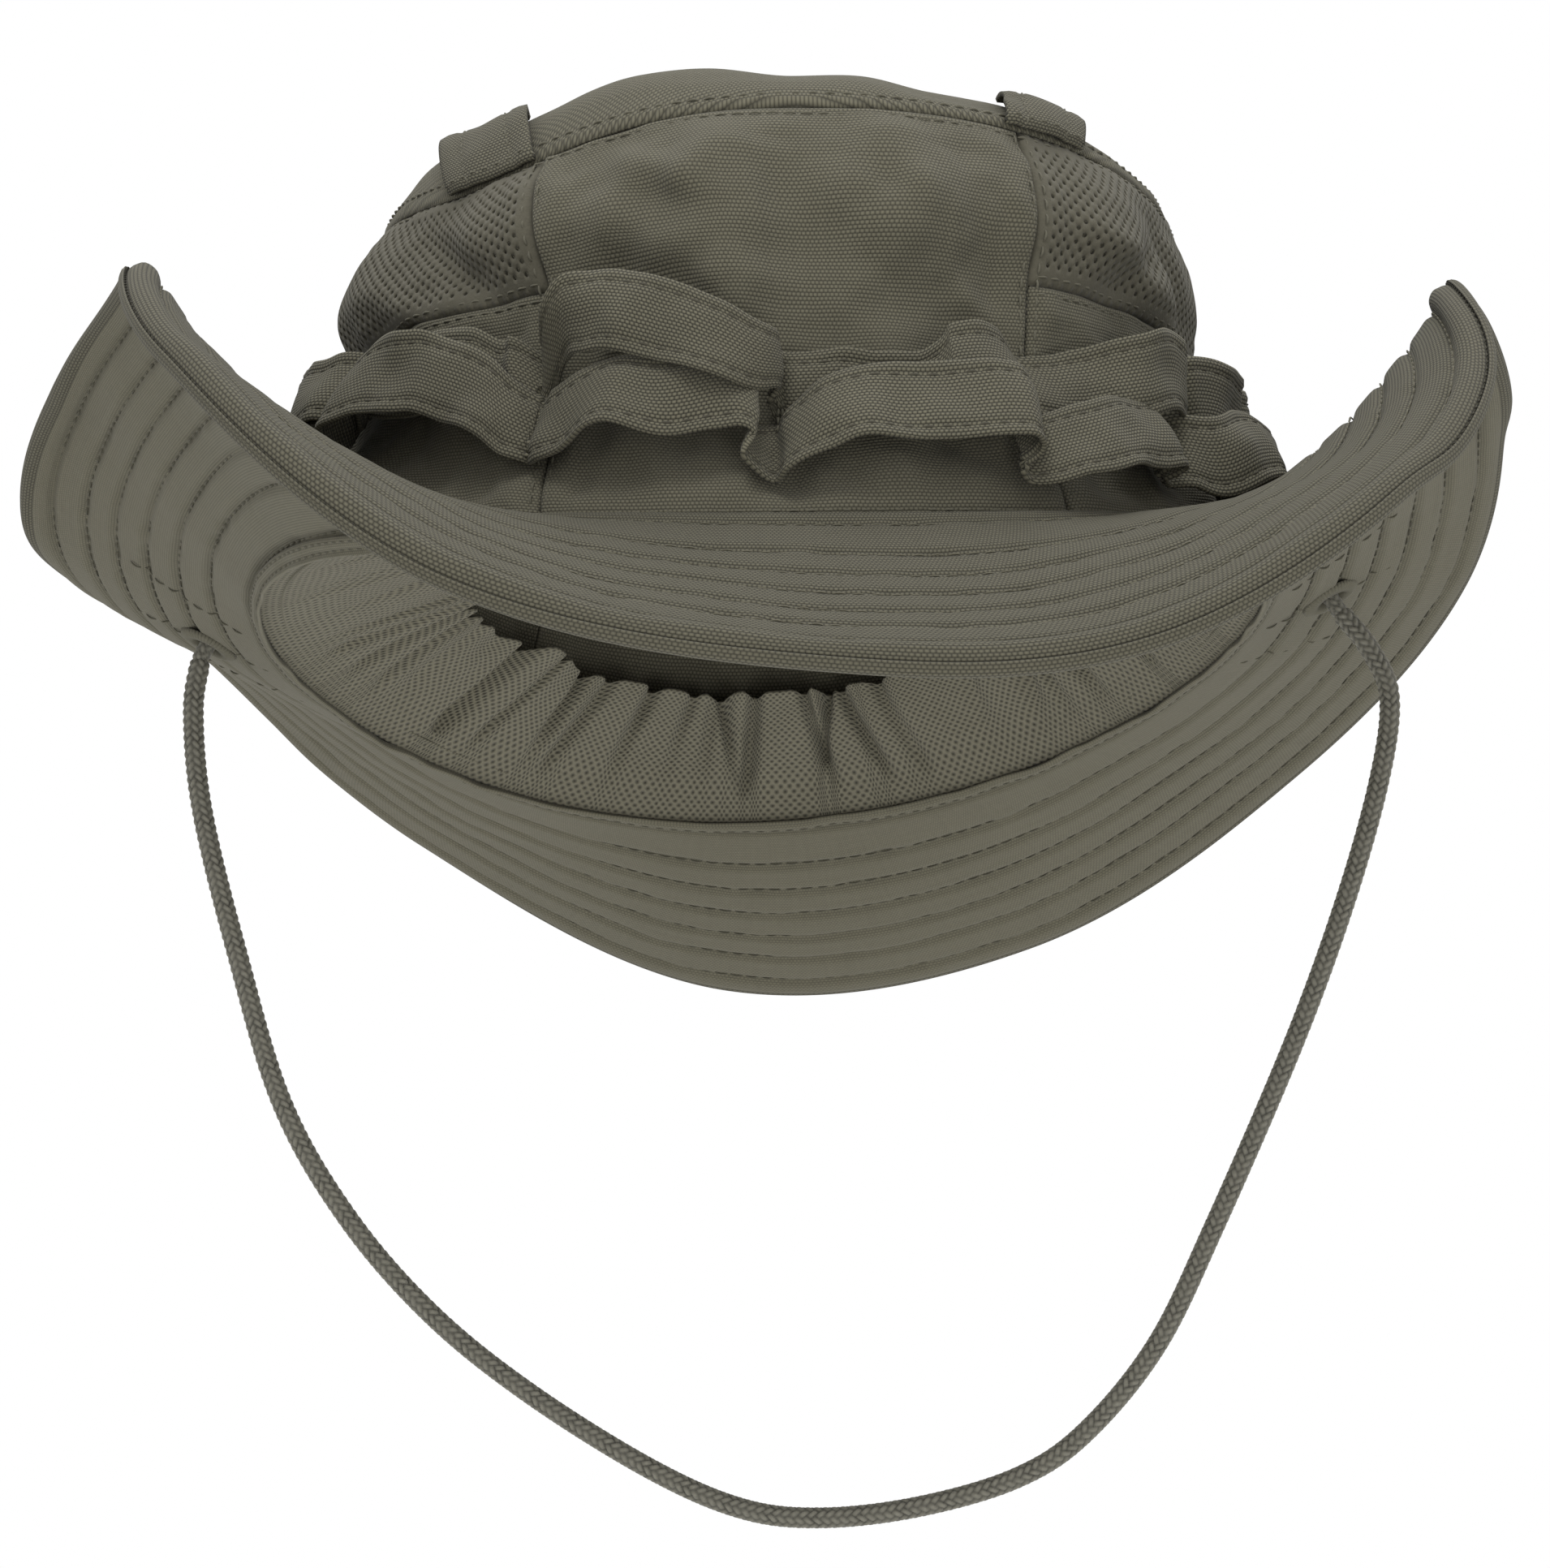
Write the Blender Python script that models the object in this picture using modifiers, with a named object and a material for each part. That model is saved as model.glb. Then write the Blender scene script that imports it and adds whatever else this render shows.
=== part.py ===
"""Boonie hat: soft crown with mesh vents, two looped foliage bands, a quilted
three-layer brim with turned-up sides, a gathered mesh sweatband and a chin cord.

Frame, in metres: the origin is the middle of the head opening, level with its
front and back edge. The front of the hat faces -Y, +X is its right-hand side
as seen from the front, and +Z is up. Angles run round the head from 0 at the
front, 90 degrees at +X, to 180 at the back.
"""
import math

import bmesh
import bpy
from mathutils import Matrix, Vector

MM = 0.001

# Head opening: an ellipse whose sides are lifted, like a saddle.
HEAD_HALF_WIDTH = 85.6 * MM
HEAD_HALF_DEPTH = 100.5 * MM
SIDE_LIFT = 13.6 * MM

# Brim: its slope in degrees from the crown outwards, at 16 even stations from
# the front through +X, how far each section bends up from root to edge, at 8,
# and the extra droop of its outer edge.
BRIM_WIDTH = 60 * MM
BRIM_SLOPES = (-37, -33, 2, 45, 40, 20, 2, -18, -21, 4, 28, 30, 51, 58, 23, -22)
BRIM_BENDS = (-15, -14, -15, -9, -13, -16, -13, 3)
EDGE_CURL = 4.5
BRIM_START = 1.0 * MM
BRIM_TURNS = 48
BRIM_ROWS = 7
SECTION_STEPS = 12
TOP_PLY = 0.9 * MM
INTERLINING = 1.2 * MM
UNDER_PLY = 0.7 * MM
PLY_GAP = 0.3 * MM
TOP_PLY_LIFT = (INTERLINING + TOP_PLY) / 2 + PLY_GAP
UNDER_PLY_DROP = (INTERLINING + UNDER_PLY) / 2 + PLY_GAP
BRIM_TOP = TOP_PLY_LIFT + TOP_PLY / 2
BRIM_UNDERSIDE = UNDER_PLY_DROP + UNDER_PLY / 2

# Crown: half width and half depth at 9 even steps from the brim to the seam
# of the top panel, and the dome above that seam.
CROWN_WIDTHS = (84.6, 80.6, 77.0, 74.0, 72.3, 72.8, 75.7, 74.2, 69.8)
CROWN_DEPTHS = (99.4, 95.6, 92.2, 89.4, 87.8, 87.9, 89.0, 86.4, 80.0)
CROWN_SEAM_HEIGHT = 78 * MM
CROWN_LEAN = 3.5 * MM
DOME_RISE = 18.5 * MM
DOME_TILT = 0.02
DOME_SPREADS = (0.0, 0.3, 0.55, 0.75, 0.9, 0.985)
CLOTH = 0.9 * MM
CROWN_STEP = 7.5
CROWN_LOW = 0.006
CROWN_HIGH = 0.992
SEAM_GAP = 0.5
FRONT_PANEL_HALF = 32.0
VENT_BOTTOM = 0.60
VENT_GAP = 0.008

# Foliage bands: strips tacked to the crown every 30 degrees, looped between.
SPANS = 12
SPAN = 360 / SPANS
SPAN_STEPS = 6
BAND_HEIGHT = 14 * MM
BAND_CLOTH = 0.8 * MM
LOWER_BAND_LEVEL = 0.25
UPPER_BAND_LEVEL = 0.46
BAND_SIDE_RISE = 0.06
LOWER_LOOP_DEPTH = 12.0 * MM
UPPER_LOOP_DEPTH = 10.5 * MM
LOOP_POINTEDNESS = 1.2
TACK_RADIUS = 0.45 * MM
TACK_CLEAR = 0.6 * MM
TACK_REACH = 0.08
STRAP_LIFT = CLOTH / 2 + PLY_GAP + BAND_CLOTH / 2

# Top loops: short straps over the seam of the top panel, from a foot on the
# vent to an end on the dome.
TOP_LOOP_ANGLES = {"left": -46.0, "right": 41.0}
TOP_LOOP_HALF = 6.0
TOP_LOOP_CLEAR = 0.4 * MM
TOP_LOOP_STAND = 3.2 * MM
TOP_LOOP_FOOT = 0.9
TOP_LOOP_END = 0.78
TOP_LOOP_CORNER = 0.6

# Sweatband: gathered mesh inside the crown, and the tape over its seam.
SWEATBAND_INSET = 3.2 * MM
SWEATBAND_LOW = 0.01
SWEATBAND_TOP = 0.36
PLEATS = 24
PLEAT_DEPTH = 0.8 * MM
TAPE_WIDTH = 3.6 * MM
TAPE_CLOTH = 0.7 * MM
TAPE_GAP = 0.5 * MM

# Chin cord: holes through the brim, a stopper knot above each, and the loop.
CORD_DIAMETER = 3.6 * MM
CORD_HOLES = {"left": -113.0, "right": 103.0}
HOLE_CENTRE = 21 * MM
HOLE_LENGTH = 6.0 * MM
HOLE_WIDTH = 4.8 * MM
HOLE_CLEAR = 6 * MM
HOLE_CLEAR_ANGLE = 2.2
STUB_RADIUS = 1.5 * MM
EYELET_WIRE = 0.5 * MM
EYELET_DROP = BRIM_UNDERSIDE + PLY_GAP + EYELET_WIRE
PIVOT_DROP = EYELET_DROP + EYELET_WIRE + CORD_DIAMETER / 2
KNOT_RADIUS = 4.2 * MM
KNOT_HEIGHT = 8 * MM
KNOT_PROFILE = ((0.8, 0.0), (1.0, 0.25), (1.0, 0.7), (0.6, 0.95), (0.0, 1.0))
CORD_POINTS = 48
# The hanging loop, as (across, height) in millimetres in the upright plane
# through both pivots, measured from the middle of the line between them.
CORD_ROUTE = (
    (-103.5, -11), (-102, -29), (-96, -55), (-88, -83), (-76.5, -104), (-62, -121.5),
    (-45, -136), (-24, -150), (-8, -157.5), (6, -159.5), (23, -158), (40, -153.5),
    (52, -146), (65, -131), (76, -110), (91, -78), (101, -53), (108, -31),
    (110.5, -16), (107.5, -7),
)

NUDGE = 0.5 * MM
NUDGE_ANGLE = 0.5


def material(name, colour, roughness):
    """A plain cloth material with the colour of one sub-part."""
    made = bpy.data.materials.new(name)
    made.use_nodes = True
    shader = made.node_tree.nodes["Principled BSDF"]
    shader.inputs["Base Color"].default_value = (*colour, 1.0)
    shader.inputs["Roughness"].default_value = roughness
    shader.inputs["Metallic"].default_value = 0.0
    return made


def spline(before, start, end, after, part):
    """Catmull-Rom value between start and end, part of the way along."""
    bend = 2 * before - 5 * start + 4 * end - after
    twist = 3 * start - before - 3 * end + after
    return start + 0.5 * part * (end - before + part * (bend + part * twist))


def around(values, angle):
    """Value at an angle in degrees, from even stations round the head."""
    count = len(values)
    place = (angle % 360.0) / 360.0 * count
    first = int(place)
    near = [values[(first + step) % count] for step in (-1, 0, 1, 2)]
    return spline(*near, place - first)


def along(values, part):
    """Value part of the way along a list of even steps from 0 to 1."""
    last = len(values) - 1
    place = min(max(part, 0.0), 1.0) * last
    first = min(int(place), last - 1)
    near = [values[min(max(first + step, 0), last)] for step in (-1, 0, 1, 2)]
    return spline(*near, place - first)


def heading(angle):
    """Level unit vector straight out of the head opening at an angle."""
    turn = math.radians(angle)
    out = Vector((math.sin(turn) / HEAD_HALF_WIDTH, -math.cos(turn) / HEAD_HALF_DEPTH, 0.0))
    return out.normalized()


def opening_height(angle):
    """Height of the head opening's edge at an angle."""
    return SIDE_LIFT * (1 - math.cos(2 * math.radians(angle))) / 2


def brim_middle(angle, reach):
    """Point of the brim's middle surface, reach metres out from the crown."""
    turn = math.radians(angle)
    root = Vector((HEAD_HALF_WIDTH * math.sin(turn), -HEAD_HALF_DEPTH * math.cos(turn), 0.0))
    root.z = opening_height(angle)
    slope = around(BRIM_SLOPES, angle)
    bend = around(BRIM_BENDS, angle)
    out = heading(angle)
    point = root
    for step in range(SECTION_STEPS):
        part = (step + 0.5) / SECTION_STEPS * reach / BRIM_WIDTH
        tilt = math.radians(slope + bend * (0.5 - part) - EDGE_CURL * (part ** 4 - 0.2))
        onward = out * math.cos(tilt) + Vector((0, 0, math.sin(tilt)))
        point = point + onward * reach / SECTION_STEPS
    return point


def brim_normal(angle, reach):
    """Unit normal of the brim, on its upper side."""
    outward = brim_middle(angle, reach + NUDGE) - brim_middle(angle, reach - NUDGE)
    onward = brim_middle(angle + NUDGE_ANGLE, reach) - brim_middle(angle - NUDGE_ANGLE, reach)
    return outward.cross(onward).normalized()


def brim_point(angle, reach, lift):
    """Point lift metres above the brim's middle surface."""
    return brim_middle(angle, reach) + brim_normal(angle, reach) * lift


def crown_point(angle, level, lift=0.0):
    """Point of the crown's wall, from level 0 at the brim to 1 at the top seam."""
    turn = math.radians(angle)
    point = Vector((along(CROWN_WIDTHS, level) * MM * math.sin(turn),
                    -along(CROWN_DEPTHS, level) * MM * math.cos(turn), 0.0))
    point.x += CROWN_LEAN * level
    point.z = opening_height(angle) * (1 - level) + CROWN_SEAM_HEIGHT * level
    return point + heading(angle) * lift


def dome_point(angle, spread):
    """Point of the crown's top, from spread 0 at its middle to 1 at its seam."""
    turn = math.radians(angle)
    point = Vector((CROWN_WIDTHS[-1] * MM * math.sin(turn) * spread,
                    -CROWN_DEPTHS[-1] * MM * math.cos(turn) * spread, 0.0))
    fall = 1 - spread ** 4
    point.z = CROWN_SEAM_HEIGHT + DOME_RISE * fall ** 0.6 - DOME_TILT * point.x * fall
    point.x += CROWN_LEAN
    return point


def keep(name, mesh, cloth):
    """Object from a mesh, shaded smooth, in the hat's collection."""
    made = bpy.data.objects.new(name, mesh)
    mesh.materials.append(cloth)
    mesh.shade_smooth()
    hat.objects.link(made)
    return made


def sheet(name, across, up, place, thickness, cloth, ring=False, holes=()):
    """A piece of cloth: a grid laid over a surface and thickened both ways.

    across and up are the grid's lines, place turns a pair of them into a
    point, and holes names the grid's cells that are left out.
    """
    bm = bmesh.new()
    bmesh.ops.create_grid(bm, x_segments=len(across) - 1, y_segments=len(up) - 1, size=1.0)
    columns = {vert: round((vert.co.x + 1) / 2 * (len(across) - 1)) for vert in bm.verts}
    rows = {vert: round((vert.co.y + 1) / 2 * (len(up) - 1)) for vert in bm.verts}
    cut = [face for face in bm.faces
           if (min(columns[v] for v in face.verts), min(rows[v] for v in face.verts)) in holes]
    for vert in bm.verts:
        vert.co = place(across[columns[vert]], up[rows[vert]])
    bmesh.ops.delete(bm, geom=cut, context="FACES")
    if ring:
        bmesh.ops.remove_doubles(bm, verts=bm.verts, dist=0.01 * MM)
    mesh = bpy.data.meshes.new(name)
    bm.to_mesh(mesh)
    bm.free()
    made = keep(name, mesh, cloth)
    solid = made.modifiers.new("Cloth", "SOLIDIFY")
    solid.thickness = thickness
    solid.offset = 0.0
    solid.use_even_offset = True
    return made


def tube(name, points, radius, cloth, sides=2):
    """A cord or thread: a POLY curve with a round bevel and filled caps."""
    curve = bpy.data.curves.new(name, "CURVE")
    curve.dimensions = "3D"
    curve.bevel_depth = radius
    curve.bevel_resolution = sides
    curve.use_fill_caps = True
    line = curve.splines.new("POLY")
    line.points.add(len(points) - 1)
    for target, point in zip(line.points, points):
        target.co = (*point, 1.0)
    curve.materials.append(cloth)
    made = bpy.data.objects.new(name, curve)
    hat.objects.link(made)
    return made


def even(start, end, count):
    """Evenly spaced values from start to end, count steps."""
    return [start + (end - start) * step / count for step in range(count + 1)]


def panel_lines(start, end):
    """Grid lines of a crown panel, stopping short of the seams at its sides."""
    count = round((end - start) / CROWN_STEP)
    return even(start + SEAM_GAP / 2, end - SEAM_GAP / 2, count)


def brim_grid():
    """Lines of the brim's grid, with a cell the size of each cord hole."""
    inner = HOLE_CENTRE - HOLE_LENGTH / 2
    outer = HOLE_CENTRE + HOLE_LENGTH / 2
    reaches = even(BRIM_START, BRIM_WIDTH, BRIM_ROWS)
    reaches = [reach for reach in reaches if abs(reach - HOLE_CENTRE) > HOLE_CLEAR]
    reaches = sorted(reaches + [inner, outer])
    angles = even(-180, 180, BRIM_TURNS)
    for hole in CORD_HOLES.values():
        degree = (brim_middle(hole + 1, HOLE_CENTRE) - brim_middle(hole, HOLE_CENTRE)).length
        half = HOLE_WIDTH / degree / 2
        angles = [angle for angle in angles if abs(angle - hole) > half + HOLE_CLEAR_ANGLE]
        angles = sorted(angles + [hole - half, hole + half])
    cells = []
    for hole in CORD_HOLES.values():
        column = sum(angle < hole for angle in angles) - 1
        cells.append((column, reaches.index(inner)))
    return angles, reaches, cells


def make_brim():
    """Top ply, interlining and under ply, one above the other."""
    angles, reaches, cells = brim_grid()
    sheet("brim_top_ply", angles, reaches, lambda a, r: brim_point(a, r, TOP_PLY_LIFT),
          TOP_PLY, canvas, ring=True, holes=cells)
    sheet("brim_interlining", angles, reaches, lambda a, r: brim_point(a, r, 0.0),
          INTERLINING, felt, ring=True, holes=cells)
    sheet("brim_under_ply", angles, reaches, lambda a, r: brim_point(a, r, -UNDER_PLY_DROP),
          UNDER_PLY, twill, ring=True, holes=cells)


def make_crown():
    """Front, back and side panels, the vents above the sides, and the top."""
    levels = even(CROWN_LOW, CROWN_HIGH, 8)
    front = FRONT_PANEL_HALF
    sheet("crown_front_panel", panel_lines(-front, front), levels, crown_point, CLOTH, canvas)
    sheet("crown_rear_panel", panel_lines(180 - front, 180 + front), levels, crown_point,
          CLOTH, canvas)
    low = even(CROWN_LOW, VENT_BOTTOM - VENT_GAP / 2, 5)
    high = even(VENT_BOTTOM + VENT_GAP / 2, CROWN_HIGH, 3)
    for side, start, end in (("left", front - 180, -front), ("right", front, 180 - front)):
        lines = panel_lines(start, end)
        sheet(f"crown_side_{side}", lines, low, crown_point, CLOTH, canvas)
        sheet(f"vent_mesh_{side}", lines, high, crown_point, CLOTH, vent)
    sheet("crown_top_panel", even(-180, 180, BRIM_TURNS), DOME_SPREADS, dome_point,
          CLOTH, canvas, ring=True)


def side_rise(angle):
    """How much higher the foliage bands run at the sides, as a crown level."""
    return BAND_SIDE_RISE * (1 - math.cos(2 * math.radians(angle))) / 2


def band_point(angle, height, level, depth):
    """Point of a foliage band, which bows out between its tacks."""
    level += side_rise(angle)
    on_wall = crown_point(angle, level + height / CROWN_SEAM_HEIGHT, STRAP_LIFT)
    upright = crown_point(angle, level, STRAP_LIFT + depth)
    upright.z += height
    bow = math.sin(math.pi * (angle % SPAN) / SPAN) ** LOOP_POINTEDNESS
    return on_wall.lerp(upright, bow)


def make_bands():
    """The two foliage bands and the thread tacks that hold them."""
    angles = even(0, 360, SPANS * SPAN_STEPS)
    heights = even(-BAND_HEIGHT / 2, BAND_HEIGHT / 2, 1)
    sheet("foliage_band_lower", angles, heights,
          lambda a, h: band_point(a, h, LOWER_BAND_LEVEL, LOWER_LOOP_DEPTH),
          BAND_CLOTH, canvas, ring=True)
    sheet("foliage_band_upper", angles, heights,
          lambda a, h: band_point(a, h, UPPER_BAND_LEVEL, UPPER_LOOP_DEPTH),
          BAND_CLOTH, canvas, ring=True)
    stand = STRAP_LIFT + BAND_CLOTH / 2 + PLY_GAP + TACK_RADIUS + TACK_CLEAR
    levels = even(LOWER_BAND_LEVEL - TACK_REACH, UPPER_BAND_LEVEL + TACK_REACH, 5)
    for number in range(SPANS):
        angle = number * SPAN
        points = [crown_point(angle, level + side_rise(angle), stand) for level in levels]
        tube(f"band_tack_{number + 1:02d}", points, TACK_RADIUS, thread)


def top_loop_point(angle, way):
    """Point of a top loop: way 0 is its foot on the vent, 1 its end on the dome."""
    lift = STRAP_LIFT + TOP_LOOP_CLEAR + TOP_LOOP_STAND * math.sin(math.pi * way)
    if way < 0.5:
        return crown_point(angle, TOP_LOOP_FOOT + (1 - TOP_LOOP_FOOT) * 2 * way, lift)
    over = 2 * way - 1
    foot = dome_point(angle, 1 - (1 - TOP_LOOP_END) * over)
    rise = TOP_LOOP_CORNER + (1 - TOP_LOOP_CORNER) * over
    return foot + (heading(angle) * (1 - over) + Vector((0, 0, rise))) * lift


def make_top_loops():
    """Short straps that arch over the seam between the crown's top and vents."""
    for side, middle in TOP_LOOP_ANGLES.items():
        sheet(f"top_loop_{side}", even(middle - TOP_LOOP_HALF, middle + TOP_LOOP_HALF, 3),
              even(0.0, 1.0, 10), top_loop_point, BAND_CLOTH, canvas)


def gathered_point(angle, level):
    """Point of the sweatband, pleated more towards its free top edge."""
    wave = PLEAT_DEPTH * level / SWEATBAND_TOP * math.cos(math.radians(angle * PLEATS))
    return crown_point(angle, level, wave - SWEATBAND_INSET)


def make_sweatband():
    """Gathered mesh band inside the crown, and the tape under its seam."""
    sheet("sweatband_mesh", even(0, 360, PLEATS * 4), even(SWEATBAND_LOW, SWEATBAND_TOP, 2),
          gathered_point, CLOTH, mesh_cloth, ring=True)
    angles = brim_grid()[0]
    drop = BRIM_UNDERSIDE + TAPE_GAP + TAPE_CLOTH / 2
    sheet("sweatband_tape", angles, [BRIM_START, BRIM_START + TAPE_WIDTH],
          lambda a, r: brim_point(a, r, -drop), TAPE_CLOTH, twill, ring=True)


def hole_frame(angle):
    """Frame at a cord hole: Z is the brim's upper normal, X runs outwards."""
    up = brim_normal(angle, HOLE_CENTRE)
    out = brim_middle(angle, HOLE_CENTRE + NUDGE) - brim_middle(angle, HOLE_CENTRE - NUDGE)
    out = (out - up * out.dot(up)).normalized()
    frame = Matrix((out, up.cross(out), up)).transposed().to_4x4()
    frame.translation = brim_middle(angle, HOLE_CENTRE)
    return frame


def make_eyelet(side, frame):
    """Stitched rim under the brim, stretched to the hole's oval."""
    bpy.ops.mesh.primitive_torus_add(
        major_radius=HOLE_WIDTH / 2 + EYELET_WIRE, minor_radius=EYELET_WIRE,
        major_segments=16, minor_segments=6)
    eyelet = bpy.context.object
    eyelet.name = f"cord_eyelet_{side}"
    eyelet.data.transform(Matrix.Diagonal((HOLE_LENGTH / HOLE_WIDTH, 1.0, 1.0, 1.0)))
    eyelet.data.materials.append(thread)
    eyelet.matrix_world = frame @ Matrix.Translation((0, 0, -EYELET_DROP))
    for owner in eyelet.users_collection:
        owner.objects.unlink(eyelet)
    hat.objects.link(eyelet)


def make_knot(side, frame):
    """Stopper knot on top of the brim, with the stub that ends at the pivot."""
    seat = BRIM_TOP + PLY_GAP
    tip = [(STUB_RADIUS * math.sin(turn), -PIVOT_DROP - STUB_RADIUS * math.cos(turn))
           for turn in even(0, math.pi / 2, 3)]
    belly = [(KNOT_RADIUS * wide, seat + KNOT_HEIGHT * high) for wide, high in KNOT_PROFILE]
    outline = tip + [(STUB_RADIUS, seat)] + belly
    bm = bmesh.new()
    verts = [bm.verts.new((radius, 0.0, height)) for radius, height in reversed(outline)]
    for first, second in zip(verts, verts[1:]):
        bm.edges.new((first, second))
    mesh = bpy.data.meshes.new(f"cord_end_{side}")
    bm.to_mesh(mesh)
    bm.free()
    made = keep(f"cord_end_{side}", mesh, cord_cloth)
    made.matrix_world = frame
    turned = made.modifiers.new("Turn", "SCREW")
    turned.steps = 12
    turned.render_steps = 12
    turned.use_merge_vertices = True
    turned.merge_threshold = 0.0001
    turned.use_normal_calculate = True


def make_cord_ends():
    """Stitched eyelets under the brim, and the knotted ends through the holes."""
    for side, angle in CORD_HOLES.items():
        frame = hole_frame(angle)
        make_eyelet(side, frame)
        make_knot(side, frame)


def make_chin_cord():
    """The hanging cord, in the upright plane through both pivots."""
    left, right = [hole_frame(angle) @ Vector((0, 0, -PIVOT_DROP))
                   for angle in CORD_HOLES.values()]
    middle = (left + right) / 2
    across = right - left
    across.z = 0.0
    across.normalize()
    route = [middle + across * x * MM + Vector((0, 0, z * MM)) for x, z in CORD_ROUTE]
    start = left + (route[0] - left).normalized() * CORD_DIAMETER / 2
    finish = right + (route[-1] - right).normalized() * CORD_DIAMETER / 2
    route = [start] + route + [finish]
    points = [along(route, place) for place in even(0.0, 1.0, CORD_POINTS - 1)]
    tube("chin_cord", points, CORD_DIAMETER / 2, cord_cloth)


for old in list(bpy.data.objects):
    bpy.data.objects.remove(old, do_unlink=True)

hat = bpy.data.collections.new("boonie_hat")
bpy.context.scene.collection.children.link(hat)

canvas = material("olive_canvas", (0.120, 0.112, 0.082), 0.95)
twill = material("olive_twill", (0.128, 0.119, 0.088), 0.92)
vent = material("olive_vent_mesh", (0.105, 0.099, 0.074), 0.9)
mesh_cloth = material("olive_sweatband_mesh", (0.113, 0.105, 0.078), 0.9)
felt = material("brim_felt", (0.150, 0.140, 0.110), 0.95)
thread = material("olive_thread", (0.200, 0.187, 0.140), 0.8)
cord_cloth = material("olive_braid", (0.100, 0.094, 0.076), 0.85)

make_brim()
make_crown()
make_bands()
make_top_loops()
make_sweatband()
make_cord_ends()
make_chin_cord()
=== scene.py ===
"""Looks of the boonie hat: cloth, stitching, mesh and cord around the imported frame.

Units are millimetres in the shape functions and metres in the finished meshes.
Angles run round the head in degrees: 0 at the front (-Y), 90 at +X, 180 at the back.
"""
import math

import bpy
import numpy as np
from mathutils import Matrix, Vector


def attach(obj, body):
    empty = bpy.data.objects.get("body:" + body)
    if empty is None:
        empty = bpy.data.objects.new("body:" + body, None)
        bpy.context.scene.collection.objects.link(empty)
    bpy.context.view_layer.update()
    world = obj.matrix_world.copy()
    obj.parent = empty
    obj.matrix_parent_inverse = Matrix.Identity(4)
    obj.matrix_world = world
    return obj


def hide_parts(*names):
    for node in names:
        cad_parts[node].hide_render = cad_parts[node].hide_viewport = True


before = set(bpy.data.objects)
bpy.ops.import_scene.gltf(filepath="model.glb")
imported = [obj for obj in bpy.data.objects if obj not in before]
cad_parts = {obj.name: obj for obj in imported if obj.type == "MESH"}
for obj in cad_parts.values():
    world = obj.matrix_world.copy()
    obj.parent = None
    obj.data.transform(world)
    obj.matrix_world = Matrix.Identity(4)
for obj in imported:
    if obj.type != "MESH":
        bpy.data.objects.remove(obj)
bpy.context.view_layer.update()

MM = 0.001

# Camera: below the hat and in front of it, looking up into the opening.
CAMERA_DISTANCE = 1.4
CAMERA_PITCH = 14.35
CAMERA_YAW = 3.06
CAMERA_ROLL = -1.33
CAMERA_LENS = 184.4
CAMERA_SENSOR = 36.0
CAMERA_SHIFT = (0.0067, -0.0683)

# Head opening, brim and crown: the sizes that the design gives them.
HEAD_HALF_WIDTH = 85.6
HEAD_HALF_DEPTH = 100.5
SIDE_LIFT = 13.6
BRIM_WIDTH = 60.0
BRIM_SLOPES = (-37, -33, 2, 45, 40, 20, 2, -18, -21, 4, 28, 30, 51, 58, 23, -22)
BRIM_BENDS = (-15, -14, -15, -9, -13, -16, -13, 3)
EDGE_CURL = 4.5
TIP_TRIM, TIP_ANGLE = 0.065, -84.0      # the brim is a little narrower at its left tip
# Turns of the brim's lip: angle, half width, start as a share of the reach, degrees.
LIP_TURNS = (
    (-58.0, 36.0, 0.84, -42.0), (-98.0, 14.0, 0.80, -55.0), (84.0, 10.0, 0.8, -45.0),
    (66.0, 8.0, 0.75, 22.0), (50.0, 7.0, 0.75, -20.0),
)
CROWN_WIDTHS = (84.6, 80.6, 77.0, 74.0, 72.3, 72.8, 75.7, 74.2, 69.8)
CROWN_DEPTHS = (99.4, 95.6, 92.2, 89.4, 87.8, 87.9, 89.0, 86.4, 80.0)
CROWN_SEAM_HEIGHT = 78.0
CROWN_LEAN = 3.5
DOME_RISE = 18.5
DOME_TILT = 0.02

# Brim cloth: half the brim's thickness, its stitch rows and how deep they sink.
HALF_THICKNESS = 1.7
STITCH_ROWS = (3.7, 14.4, 22.3, 29.9, 37.5, 44.8, 52.9)
ROW_WIDTH = 1.1
# How far each cloth puffs up between the rows, and how deep the rows sink in it.
TOP_PUFF, TOP_ROW_DEPTH = 0.55, 0.85
UNDER_PUFF, UNDER_ROW_DEPTH = 0.5, 1.0
UNDER_SHARPNESS = 0.85

# Thicknesses of the cloths.
CLOTH = 0.7
KNIT = 0.6
FELT = 1.1
STRAP = 0.8

# Seams of the crown, as angles at the brim and at the top seam.
SEAMS = {"left": (-29.0, -37.0), "right": (33.5, 33.0),
         "rear_right": (148.0, 148.0), "rear_left": (212.0, 212.0)}
SIDES = (("right", "rear_right"), ("rear_left", "left"))
VENT_LEVEL = 0.60
DEGREE_ARC = 1.5        # millimetres of the crown's wall in one degree, about
PANEL_RADIUS, VENT_RADIUS, TOP_RADIUS = 86.0, 84.0, 78.0

# Chin cord.
CORD_DIAMETER = 3.6
CORD_HOLES = (-113.0, 103.0)
HOLE_REACH = 21.0
HOLE_LONG, HOLE_WIDE = 3.0, 2.4
HOLE_PUSH = 9.0         # cloth nearer than this makes way for the hole
PIVOT_DROP = 4.7
CORD_ROUTE = (
    (-103.5, -11), (-102, -29), (-96, -55), (-88, -83), (-76.5, -104), (-62, -121.5),
    (-45, -136), (-24, -150), (-8, -157.5), (6, -159.5), (23, -158), (40, -153.5),
    (52, -146), (65, -131), (76, -110), (91, -78), (101, -53), (108, -31),
    (110.5, -16), (107.5, -7),
)


# ---- number helpers

def spline(before, start, end, after, part):
    """Catmull-Rom value between start and end, part of the way along."""
    bend = 2 * before - 5 * start + 4 * end - after
    twist = 3 * start - before - 3 * end + after
    return start + 0.5 * part * (end - before + part * (bend + part * twist))


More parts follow.
